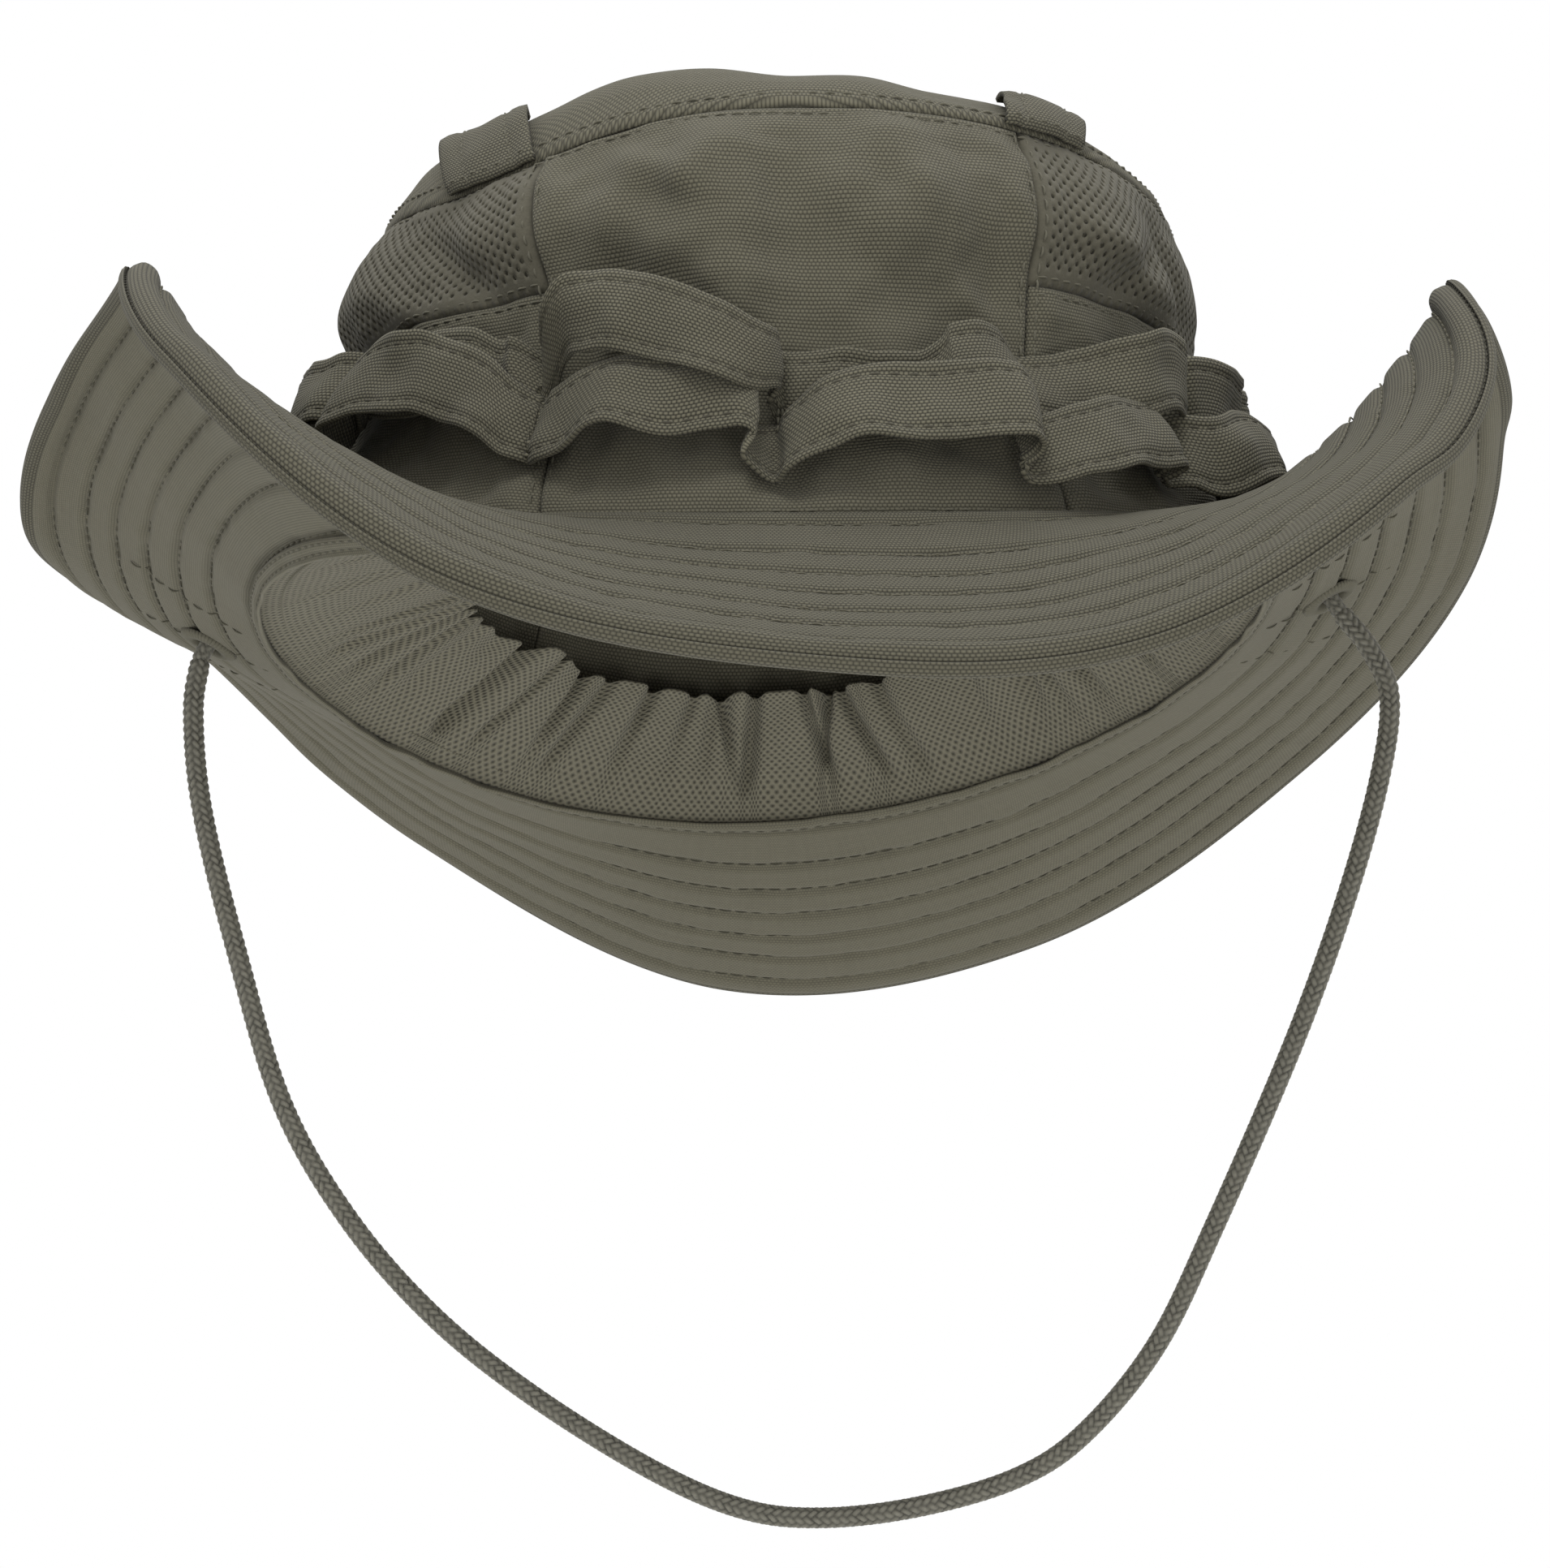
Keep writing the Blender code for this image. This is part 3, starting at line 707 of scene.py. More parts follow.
def hole_push(angles, reaches):
    """Moves cloth points away from the cord holes; says which lie inside a hole."""
    angles, reaches = np.broadcast_arrays(angles, reaches)
    angles, reaches = angles.astype(float).copy(), reaches.astype(float).copy()
    inside = np.zeros(angles.shape, bool)
    for hole in CORD_HOLES:
        step = np.linalg.norm(brim.at(hole + 1, HOLE_REACH)[0] - brim.at(hole - 1, HOLE_REACH)[0]) / 2
        x = wrapped(angles - hole) * step
        y = reaches - HOLE_REACH
        gap = np.hypot(x, y)
        turn = np.arctan2(y, x)
        edge = HOLE_WIDE * HOLE_LONG / np.hypot(HOLE_LONG * np.cos(turn), HOLE_WIDE * np.sin(turn))
        near = gap < HOLE_PUSH
        inside |= gap < 0.75 * HOLE_WIDE
        share = np.clip((gap - 2.0) / (HOLE_PUSH - 2.0), 0.02, 1)
        pushed = np.where(gap < HOLE_WIDE, edge, edge + (HOLE_PUSH - edge) * share)
        angles = np.where(near, hole + pushed * np.cos(turn) / step, angles)
        reaches = np.where(near, HOLE_REACH + pushed * np.sin(turn), reaches)
    return angles, reaches, inside


BRIM_ANGLES = np.arange(-180, 180, 0.5)
CLOTH_STEP = 0.48
# The top cloth's turned edge: its reaches, and how far it has fallen at some of them.
TOP_EDGE_REACHES = (58.2, 58.45, 58.65, 58.8, 58.85)
TOP_EDGE_FALL = ((57.2, 58.2, 58.65, 58.8, 58.85), (0, 0.3, 0.75, 1.3, 1.9))
LIP_ROLL = 1.0          # height of the soft roll outside the last row
# The under cloth wraps the brim's edge, then turns in beside the top cloth.
FLAT_END, WRAP_RADIUS = 58.0, 1.9
TURN_IN = ((59.5, 59.3, 59.1, 59.0), (1.2, 1.3, 0.9, 0.0))
FLAT_LIMIT = 58.5


def hole_faces(inside):
    """Faces of a ring of points that lie inside a cord hole."""
    drop = inside[:, :-1] & inside[:, 1:]
    return drop & np.roll(drop, -1, axis=0)


def brim_sheet(name, reaches, lifts, side, material):
    """One cloth of the brim: a ring of points by reach, lifted off its middle surface."""
    angles, spread, inside = hole_push(BRIM_ANGLES[:, None], reaches[None])
    points, normals = brim.at(wrapped(angles), spread)
    crease = row_dip(spread, 1.6)
    pucker = ripples(points, (0.22, 4.5, 21)) * crease + ripples(points, (0.25, 16, 22))
    flat = smooth((reaches - 1.0) / 3.0) * smooth((FLAT_LIMIT - reaches) / 2.0)
    lift = lifts + side * pucker * flat
    points = points + normals * lift[..., None]
    return grid_object(name, points, surface_uv(points, ring=True), material, normals * side,
                       ring=True, drop=hole_faces(inside))


def make_brim():
    """Top cloth, felt and under cloth of the brim, quilted together."""
    reaches = np.concatenate([np.arange(0.6, FLAT_END, CLOTH_STEP), TOP_EDGE_REACHES])
    face = HALF_THICKNESS - np.interp(reaches, *TOP_EDGE_FALL)
    beyond = np.clip((reaches - STITCH_ROWS[-1]) / 5.9, 0, 1)
    roll = LIP_ROLL * np.sin(np.pi * beyond) ** 0.8
    puff = TOP_PUFF - TOP_ROW_DEPTH * row_dip(reaches)
    lifts = face + roll + puff * smooth((FLAT_LIMIT - reaches) / 2)
    top = brim_sheet("brim_top_cloth", reaches, lifts, 1, brim_canvas_shaded)
    place(thicken(top, CLOTH), "hat", "olive_canvas", "brim_top_ply")

    flat = np.arange(1.0, FLAT_END, CLOTH_STEP)
    turn = np.radians(np.linspace(-90, 30, 11))
    reaches = np.concatenate([flat, FLAT_END + WRAP_RADIUS * np.cos(turn), TURN_IN[0]])
    puff = UNDER_PUFF - UNDER_ROW_DEPTH * row_dip(flat, UNDER_SHARPNESS)
    flat_lift = -HALF_THICKNESS - puff * smooth((FLAT_END - flat) / 2)
    lifts = np.concatenate([flat_lift, HALF_THICKNESS * np.sin(turn), TURN_IN[1]])
    under = brim_sheet("brim_under_cloth", reaches, lifts, -1, twill)
    under.data.materials.append(edging)
    for face in under.data.polygons:
        column = min(corner % len(reaches) for corner in face.vertices)
        face.material_index = int(column >= len(flat) - 1)
    place(thicken(under, CLOTH), "hat", "olive_twill", "brim_under_ply")

    reaches = np.arange(1.5, 57.8, 1.1)
    angles, spread, inside = hole_push(BRIM_ANGLES[::2, None], reaches[None])
    points, normals = brim.at(wrapped(angles), spread)
    core = grid_object("brim_felt_layer", points + normals * FELT / 2, surface_uv(points, ring=True),
                       felt, normals, ring=True, drop=hole_faces(inside))
    place(thicken(core, FELT), "hat", "brim_felt", "brim_interlining")


def ring_run(reach, lift, keep_off=5.5):
    """Line round the brim at one reach, broken where a cord hole is near."""
    angles = np.arange(-180, 180.01, 0.5)
    points, normals = brim.at(wrapped(angles), reach)
    points = points + normals * lift
    near = np.zeros(len(angles), bool)
    for hole in CORD_HOLES:
        gap = np.linalg.norm(brim.at(hole, HOLE_REACH)[0] - points, axis=-1)
        near |= gap < keep_off
    side = 1.0 if lift > 0 else -1.0
    runs, start = [], 0
    for stop in list(np.flatnonzero(near)) + [len(angles)]:
        if stop - start > 4:
            runs.append((points[start:stop], normals[start:stop] * side))
        start = stop + 1
    return runs


# Where the stitch rows lie, off each face of the brim.
TOP_ROW_SINK, UNDER_ROW_SINK = 0.12, 0.35
# One overcast thread over the brim's edge: degrees, reach and height at three points.
OVERCAST = ((0, 0.12, 0.28), (58.5, 58.95, 59.5), (1.25, 1.1, 1.0))
OVERCAST_STEP = 0.62
# Rows beside a cord hole, across the others: degrees from it, start and end of the reach.
STAY_ROWS = ((-9.5, 8, 33), (0.0, 7, 16), (0.0, 26, 38), (9.0, 8, 34))


def make_brim_stitches():
    """Rows of stitches on both sides of the brim, its edge, and short rows beside the holes."""
    top = [run for row in STITCH_ROWS for run in ring_run(row, HALF_THICKNESS - TOP_ROW_SINK)]
    sew("brim_stitches_top", top, 2.2, 0.9, 0.14, thread_top)
    turns, reaches, heights = (np.array(part) for part in OVERCAST)
    edge = []
    for angle in np.arange(-180, 180, OVERCAST_STEP):
        points, normals = brim.at(angle + turns, reaches)
        edge.append((points + normals * heights[:, None], normals))
    # The edge threads' near-black colour is painted shade of the groove along the brim's edge.
    sew("brim_edge_threads", edge, 1.0, 0.05, 0.13, edge_thread_shaded)
    under = [run for row in STITCH_ROWS for run in ring_run(row, UNDER_ROW_SINK - HALF_THICKNESS)]
    for hole in CORD_HOLES:
        for shift, start, stop in STAY_ROWS:
            reaches = np.linspace(start, stop, 60)
            points, normals = brim.at(hole + shift, reaches)
            dip = (UNDER_PUFF - UNDER_ROW_DEPTH * row_dip(reaches, UNDER_SHARPNESS))[:, None]
            under.append((points - normals * (HALF_THICKNESS + dip), -normals))
    sew("brim_stitches_under", under, 2.2, 0.8, 0.16, thread_under)


def hole_matrix(angle):
    """Frame at a cord hole in millimetres: centre, outward, sideways and up."""
    centre, up = (part[0] for part in brim.at(np.array([angle]), HOLE_REACH))
    inner, outer = (brim.at(np.array([angle]), HOLE_REACH + step)[0][0] for step in (-1, 1))
    ahead = outer - inner
    ahead = unit(ahead - up * (ahead @ up))
    return centre, ahead, np.cross(up, ahead), up


# Half of a rim's section: distance out from the hole and height over the brim's middle.
RIM_SECTION = ((-0.2, 0.0), (-0.1, 1.8), (0.3, 2.35), (1.3, 2.45), (2.2, 2.15), (2.5, 1.65))


def make_buttonholes():
    """Satin-stitched rims through the brim at the cord holes."""
    turns = np.linspace(0, 2 * np.pi, 289)[:-1]
    upper = np.array(RIM_SECTION)
    profile = np.concatenate([upper[:0:-1] * (1, -1), upper])
    for side, angle in zip(("left", "right"), CORD_HOLES):
        centre, out, across, up = hole_matrix(angle)
        ridge = 0.13 * np.cos(turns * 48)[:, None] * np.array([0] + 9 * [1] + [0])
        rounded = unit(np.stack([0.3 * np.sign(profile[:, 0] - 0.6), np.sign(profile[:, 1] + 0.01)], -1))
        reach = profile[:, 0] + ridge * rounded[:, 0]
        height = profile[:, 1] + ridge * rounded[:, 1]
        x = (HOLE_LONG + reach) * np.cos(turns)[:, None]
        y = (HOLE_WIDE + reach) * np.sin(turns)[:, None]
        points = centre + x[..., None] * out + y[..., None] * across + height[..., None] * up
        outward = np.sign(profile[:, 1])[None, :, None] * up + np.zeros(points.shape)
        cloth(f"cord_hole_stitching_{side}", points, thread_dull, outward, 0.3, "olive_thread",
              f"cord_eyelet_{side}", ring=True)


# ---- crown

# Distance from a seam to its row of stitches, on the wall and round the top.
ROW_GAP, TOP_ROW_GAP = 1.6, 1.7


def seam_relief(points, gap, seed):
    """Height near a seam: the edge turns in, and the layers under it puff up."""
    turned = -1.0 * (1 - smooth(gap / 1.1))
    layers = 0.35 * (1 - smooth((gap - 5.0) / 2.5))
    row = -0.28 * np.exp(-((gap - ROW_GAP) / 0.45) ** 2)
    pucker = 0.38 * noise(points, 5.0, seed) * np.exp(-gap / 5.0) * smooth(gap / 1.0)
    return turned + layers + row + pucker


def seam_angle(which, levels):
    """Angle of an upright seam of the crown."""
    low, high = SEAMS[which]
    return low + (high - low) * np.asarray(levels)


def seam_span(first, last, levels):
    """Angles of two seams, the second one on from the first."""
    start, stop = seam_angle(first, levels), seam_angle(last, levels)
    return start, stop + 360 * (stop < start)


def make_panel(name, first, last, high, node, seed, step=0.8):
    """One cloth panel of the crown's wall, between two upright seams."""
    start, stop = seam_span(first, last, 0.5)
    width, height = np.radians(stop - start) * PANEL_RADIUS, high * CROWN_SEAM_HEIGHT
    across = np.linspace(0, 1, int(width / step))
    across = across - 0.2 * np.sin(2 * np.pi * across) / (2 * np.pi)
    levels = high * np.linspace(0, 1, int(height / step))
    begin, end = seam_span(first, last, levels)
    angles = begin[None] + (end - begin)[None] * across[:, None]
    side_gap = np.minimum(across, 1 - across)[:, None] * width
    gap = np.minimum(side_gap, (np.minimum(levels, high - levels) * CROWN_SEAM_HEIGHT)[None])
    points, normals = crown.at(wrapped(angles), levels[None])
    creases = ripples(points, (0.9, 9, seed + 10), (0.3, 4.5, seed + 20))
    relief = seam_relief(points, gap, seed) + creases * smooth((gap - 1) / 8)
    points = points + normals * relief[..., None]
    made = cloth(name, points, canvas, normals, CLOTH, "olive_canvas", node)
    cut_cloth(points)


def make_top_panel():
    """Cloth of the crown's top."""
    angles = np.arange(-180, 180, 0.75)
    spreads = np.concatenate([np.linspace(0.0004, 0.9, 70), np.linspace(0.91, 1.0, 16)])
    points, normals = dome.at(angles[:, None], spreads[None])
    gap = (1 - spreads)[None] * TOP_RADIUS + 0 * angles[:, None]
    points = points + normals * (0.45 * seam_relief(points, gap, 33))[..., None]
    made = grid_object("crown_top_cloth", points, closed(points[..., :2]), canvas, normals, ring=True)
    place(thicken(made, CLOTH), "hat", "olive_canvas", "crown_top_panel")
    cut_cloth(points, ring=True)


def crown_run(angles, levels, lift):
    """Line on the crown's wall for stitches."""
    angles, levels = np.broadcast_arrays(angles, levels)
    points, normals = crown.at(wrapped(angles), levels)
    return points + normals * lift, normals


def make_crown_stitches():
    """Twin rows of topstitching beside the crown's seams."""
    runs = []
    levels = np.linspace(0.015, 0.985, 160)
    for which in SEAMS:
        for shift in (-1, 1):
            angles = seam_angle(which, levels) + shift * ROW_GAP / DEGREE_ARC
            runs.append(crown_run(angles, levels, 0.12))
    for shift in (-1, 1):
        level = VENT_LEVEL + shift * ROW_GAP / CROWN_SEAM_HEIGHT
        for first, last in SIDES:
            start, stop = seam_span(first, last, VENT_LEVEL)
            runs.append(crown_run(np.linspace(start + 0.8, stop - 0.8, 300), level, 0.12))
    everywhere = np.linspace(-180, 180, 721)
    runs.append(crown_run(everywhere, 1 - TOP_ROW_GAP / CROWN_SEAM_HEIGHT, 0.12))
    runs.append(crown_run(everywhere, 2.4 / CROWN_SEAM_HEIGHT, 0.15))
    points, normals = dome.at(everywhere, 1 - TOP_ROW_GAP / TOP_RADIUS)
    runs.append((points + normals * 0.12, normals))
    sew("crown_stitches", runs, 2.1, 0.8, 0.2, thread_dull)


VENT_CELL = (1.38, 2.6)         # width and height of a cell, about
VENT_HOLE = 0.50                # radius of a hole
VENT_BORDER = 3.4               # cells nearer the edge than this have no hole


def vent_cells(width, height):
    """Corners and faces of a flat knit: columns of cells with a hole, every second one shifted."""
    columns, rows = int(width / VENT_CELL[0]), int(height / VENT_CELL[1])
    cell = np.array([width / columns, height / rows])
    turn = np.radians(np.arange(8) * 45 + 225)
    hole = np.stack([np.cos(turn), np.sin(turn)], -1) * VENT_HOLE
    outer = np.sign(hole.round(3)) / 2
    points, faces = [], []
    for column in range(columns):
        shift = (column % 2) / 2
        for row in range(rows + column % 2):
            low, high = max(0.0, row - shift), min(rows, row + 1 - shift)
            middle = np.array([column + 0.5, (low + high) / 2]) * cell
            border = min(middle[0], width - middle[0], middle[1], height - middle[1])
            base = len(points)
            points.extend(middle + outer * (1.0, high - low) * cell)
            if high - low < 0.9 or border < VENT_BORDER:
                faces.append([base + k for k in range(8)])
                continue
            points.extend(middle + hole)
            for k in range(8):
                n = (k + 1) % 8
                faces.append([base + k, base + n, base + 8 + n, base + 8 + k])
    points = np.array(points)
    _, first, back = np.unique(points.round(4), axis=0, return_index=True, return_inverse=True)
    back = back.ravel()
    return points[first], [[int(back[corner]) for corner in face] for face in faces]


def make_vent(name, first, last, node, seed):
    """Mesh panel with real holes, in staggered columns."""
    start, stop = seam_span(first, last, 0.8)
    width = np.radians(stop - start) * VENT_RADIUS
    height = (1 - VENT_LEVEL) * CROWN_SEAM_HEIGHT
    flat, faces = vent_cells(width, height)
    levels = VENT_LEVEL + (1 - VENT_LEVEL) * (flat[:, 1] / height)
    begin, end = seam_span(first, last, levels)
    angles = begin + (end - begin) * (flat[:, 0] / width)
    surface, normals = crown.at(wrapped(angles), levels)
    gap = np.min([flat[:, 0], width - flat[:, 0], flat[:, 1], height - flat[:, 1]], axis=0)
    surface = surface + normals * seam_relief(surface, gap, seed)[:, None]
    corner, second, _, fourth = surface[faces[0][:4]]
    if np.cross(second - corner, fourth - corner) @ normals[faces[0][0]] < 0:
        faces = [face[::-1] for face in faces]
    uv = np.concatenate([flat[face] for face in faces])
    made = mesh_object(name, surface, faces, uv, vent_cloth)
    place(thicken(made, KNIT), "hat", "olive_vent_mesh", node)


# Wall panels: piece, first and last seam, top level, the node each stands for and a seed.
PANELS = (
    ("crown_front_cloth", "left", "right", 1.0, "crown_front_panel", 41),
    ("crown_rear_cloth", "rear_right", "rear_left", 1.0, "crown_rear_panel", 42),
    ("crown_side_cloth_right", *SIDES[0], VENT_LEVEL, "crown_side_right", 43),
    ("crown_side_cloth_left", *SIDES[1], VENT_LEVEL, "crown_side_left", 44),
)


def make_crown():
    """Panels, vents and stitches of the crown."""
    for panel in PANELS:
        make_panel(*panel)
    for side, (first, last), seed in zip(("right", "left"), SIDES, (45, 46)):
        make_vent(f"vent_knit_{side}", first, last, f"vent_mesh_{side}", seed)
    make_top_panel()
    make_crown_stitches()


# ---- foliage bands

BAND_HEIGHT = 15.0

# Stations of the two bands over the front: angle, height of the middle up the wall,
# how far off the wall, how far its top leans out, and the share of its height that shows.
LOWER_FRONT = (
    (-66, 21, 2, 0, 1.0), (-63.5, 22.5, 7, 0, 1.0), (-58, 26, 11.5, -6, 1.0), (-52, 29.5, 12.5, 0, 1.0),
    (-47, 29.5, 11.5, 4, 1.0), (-42, 26.5, 10, 4, 1.0), (-37, 22.5, 8, 4, 1.0),
    (-33.8, 19, 5.5, 0, 0.95), (-31.5, 18, 2, 0, 0.9), (-29.6, 17.5, 4.5, 0, 0.95),
    (-25, 18.3, 7.5, -2, 1.0), (-19, 20, 8.6, -5, 1.0), (-12, 20.6, 8.8, -6, 1.0),
    (-6.5, 20.3, 9, -4, 1.0), (-4.4, 17.5, 8, 0, 0.9), (-5.4, 13.2, 4.5, -20, 0.75),
    (-2.3, 12.5, 2, 0, 0.85), (-1.0, 12.8, 5, 0, 0.9), (3, 15, 8.5, 0, 0.95), (8, 17, 9.5, 0, 1.0),
    (14, 17.6, 9.8, -2, 1.0), (20, 17.8, 9.8, -2, 1.0), (24.8, 17, 9.5, 0, 1.0),
    (26.2, 15.5, 7.5, 0, 0.95), (24.6, 12.5, 4, -10, 0.8), (26.6, 11, 2, -5, 0.8),
    (29.5, 10.3, 5.5, 0, 0.9), (33, 10.5, 8.5, 0, 0.95), (38, 11.8, 9.5, -3, 1.0),
    (44, 13.3, 9.8, -3, 1.0), (47.5, 14.3, 7.5, 0, 1.0), (47, 14.5, 3.5, 0, 0.95),
    (49.5, 14, 2, 0, 0.9), (52, 13.5, 7, 0, 0.95), (59, 13, 11.5, -4, 1.0), (68, 13.2, 12.5, -2, 1.0),
    (76, 14.5, 10.5, 3, 1.0), (81, 16.5, 6, 0, 1.0), (83, 18, 2, 0, 1.0),
)
UPPER_FRONT = (
    (-66, 32.5, 2, 0, 1.0), (-62, 32, 4, 0, 1.0), (-54, 31.5, 6, 0, 1.0), (-47, 32, 6, 0, 1.0),
    (-42, 31, 5.5, 5, 1.0), (-37.5, 28, 4.5, 0, 1.0), (-35, 28.3, 6, 15, 0.85),
    (-32, 27, 2, 0, 0.8), (-30.6, 29.5, 4.5, 40, 0.75), (-29, 33.5, 8, 50, 0.8),
    (-26, 37, 10.5, 20, 0.9), (-23, 37, 11.5, 2, 0.95), (-18, 35.3, 12.2, -3, 1.0),
    (-12, 32.8, 12.2, -3, 0.97), (-7, 31.3, 11.5, -2, 0.9), (-3.6, 30, 10, 0, 0.75),
    (-2.2, 29.8, 7, 0, 0.65), (-3.2, 28, 3.5, 0, 0.75), (-1.4, 25, 2, 0, 0.9), (0.6, 24, 3.4, 0, 0.95),
    (5, 24, 4.4, 5, 1.0), (10, 22.5, 5, 10, 1.0), (14.5, 22.5, 4.8, 10, 1.0), (17, 24.5, 5.6, 5, 1.0),
    (18.8, 27.6, 7, 0, 1.0), (22, 28.4, 7, 0, 1.0), (26.5, 28, 6, 4, 1.0), (29.6, 27, 3.5, 6, 1.0),
    (31.3, 26, 2, 0, 0.95), (34.5, 25.6, 3, 0, 0.95), (38, 26.3, 5, 0, 1.0), (42, 28, 8.2, 0, 1.0),
    (48, 29, 10.4, 2, 1.0), (53, 29.2, 10, 2, 1.0), (55, 29.2, 7.5, 0, 1.0), (54.2, 29, 4, 0, 0.95),
    (57, 28.5, 2, 0, 1.0), (60, 29, 6, 0, 1.0), (67, 30, 9, 3, 1.0), (75, 31, 8.5, 0, 1.0),
    (80.5, 32, 5, 0, 1.0), (83, 32.5, 2, 0, 1.0),
)
REAR_TACKS = (83, 112, 143, 172, 203, 233, 263, 294)
TACKS = (-66, -31.8, -1.8, 29, 53) + REAR_TACKS[:-1]
TACK_STAND, TACK_SHARE = 2.0, 0.92      # a band at a tack: off the wall, and height that shows
# Shape of one loose span: share of its length and share of its depth.
SPAN_SHAPE = ((0.035, 0.45), (0.13, 0.85), (0.34, 1.0), (0.64, 1.0), (0.86, 0.88), (0.965, 0.42))


def band_stations(front, rear_height, depth, seed):
    """Stations all round: the front ones, then spans of seeded depth to close the ring."""
    random = np.random.default_rng(seed)
    stations = list(front)
    spans = len(REAR_TACKS) - 1

    def settled(number, share, height):
        """Height that leaves the front stations' heights gently at both ends."""
        near = front[-1][1] if number < spans / 2 else front[0][1]
        blend = min(1.0, (number + share) / 1.2, (spans - number - share) / 1.2)
        return near + (height - near) * blend

    for number, (start, stop) in enumerate(zip(REAR_TACKS, REAR_TACKS[1:])):
        deep = depth * random.uniform(0.75, 1.15)
        lean = random.uniform(-8, 8)
        drift = random.uniform(-1.2, 1.2)
        for share, out in SPAN_SHAPE:
            height = rear_height + drift * math.sin(math.pi * share) + random.uniform(-0.5, 0.5)
            stations.append((start + share * (stop - start), settled(number, share, height),
                             TACK_STAND + (deep - TACK_STAND) * out, lean * out, 1.0))
        stations.append((stop, settled(number, 1, rear_height), TACK_STAND, 0, TACK_SHARE))
    stations[-1] = (front[0][0] + 360,) + tuple(front[0][1:])
    return np.array(stations, float)


def table_value(x, y, places):
    """Smooth values through stations, with no overshoot between them."""
    steps = np.diff(y) / np.diff(x)
    slope = np.zeros(len(x))
    slope[1:-1] = np.where(steps[:-1] * steps[1:] > 0,
                           2 * steps[:-1] * steps[1:] / (steps[:-1] + steps[1:] + 1e-12), 0.0)
    k = np.clip(np.searchsorted(x, places, side="right") - 1, 0, len(x) - 2)
    width = x[k + 1] - x[k]
    t = (places - x[k]) / width
    return ((1 + 2 * t) * (1 - t) ** 2 * y[k] + t * (1 - t) ** 2 * width * slope[k]
            + t * t * (3 - 2 * t) * y[k + 1] + t * t * (t - 1) * width * slope[k + 1])


def band_frame(stations):
    """Middle line of a band, its direction across the cloth, its face and its share."""
    x = run_lengths(stations[:, :3] * (DEGREE_ARC, 1, 1))
    places = np.linspace(0, x[-1], int(x[-1] / 0.45), endpoint=False)
    angle, height, stand, lean, share = (table_value(x, stations[:, k], places) for k in range(5))
    level = height / CROWN_SEAM_HEIGHT
    middle = crown.at(wrapped(angle), level)[0]
    above = crown.at(wrapped(angle), level + 0.04)[0]
    up = unit(above - middle)
    out = heading(angle)
    out = unit(out - up * np.sum(out * up, axis=-1, keepdims=True))
    middle = middle + out * stand[:, None]
    lean = np.radians(lean)[:, None]
    tip = np.cos(lean) * up + np.sin(lean) * out
    way = np.roll(middle, -3, axis=0) - np.roll(middle, 3, axis=0)
    face = unit(np.cross(way, tip))
    return middle, tip, face, share


def make_band(name, stations, node, seed):
    """One foliage band: a ribbon round the crown, bowed out between its tacks."""
    middle, tip, face, share = band_frame(stations)
    across = np.linspace(-1, 1, 27)
    gap = (1 - np.abs(across)) * BAND_HEIGHT / 2
    half = (share * BAND_HEIGHT / 2)[:, None] * across[None]
    points = middle[:, None] + tip[:, None] * half[..., None]
    relief = 0.25 * smooth(gap / 1.2) - 0.42 * np.exp(-((gap - 2.3) / 0.55) ** 2)
    cup = 1.6 * (1 - share)[:, None] * (1 - across ** 2)[None]
    wave = ripples(points, (1.0, 13, seed), (0.5, 6, seed + 1))
    points = points + face[:, None] * (relief[None] + wave + cup)[..., None]
    outward = np.repeat(face[:, None], len(across), 1)
    made = cloth(name, points, canvas_strap, outward, STRAP, "olive_canvas", node, ring=True)
    runs = [(closed(points[:, k]), closed(face)) for k in (4, 22)]
    sew(name + "_stitches", runs, 2.5, 0.8, 0.2, thread_band)


# The bands: which, seed of the cloth's waves, front stations, height and depth behind, and
# the seed of the spans behind.
BANDS = (("lower", 51, LOWER_FRONT, 20.5, 10.5, 3), ("upper", 53, UPPER_FRONT, 37.5, 9.5, 4))
TACK_ROWS = ((16, 23), (25, 31))        # heights of a tack's threads, on each band


def make_tacks():
    """Short bars of thread that hold both bands to the wall."""
    for number, angle in enumerate(TACKS):
        runs = []
        for low, high in TACK_ROWS:
            heights = np.linspace(low, high, 12)
            points, normals = crown.at(np.full(12, float(wrapped(angle))), heights / CROWN_SEAM_HEIGHT)
            side = unit(np.cross(normals, np.array([0.0, 0.0, 1.0])))
            for shift in (-0.35, 0.35):
                runs.append((points + normals * 2.5 + side * shift, normals))
        made = stitches(f"band_tack_threads_{number + 1:02d}", runs, 1.5, 0.15, 0.2, thread_dull)
        place(made, "hat", "olive_thread", f"band_tack_{number + 1:02d}")


# ---- top loops

# The straps: side, sideways place of the middle and length back over the top.
LOOP_WIDTH = 14.0
TOP_LOOPS = (("left", -46.8, 23.0), ("right", 45.8, 17.0))


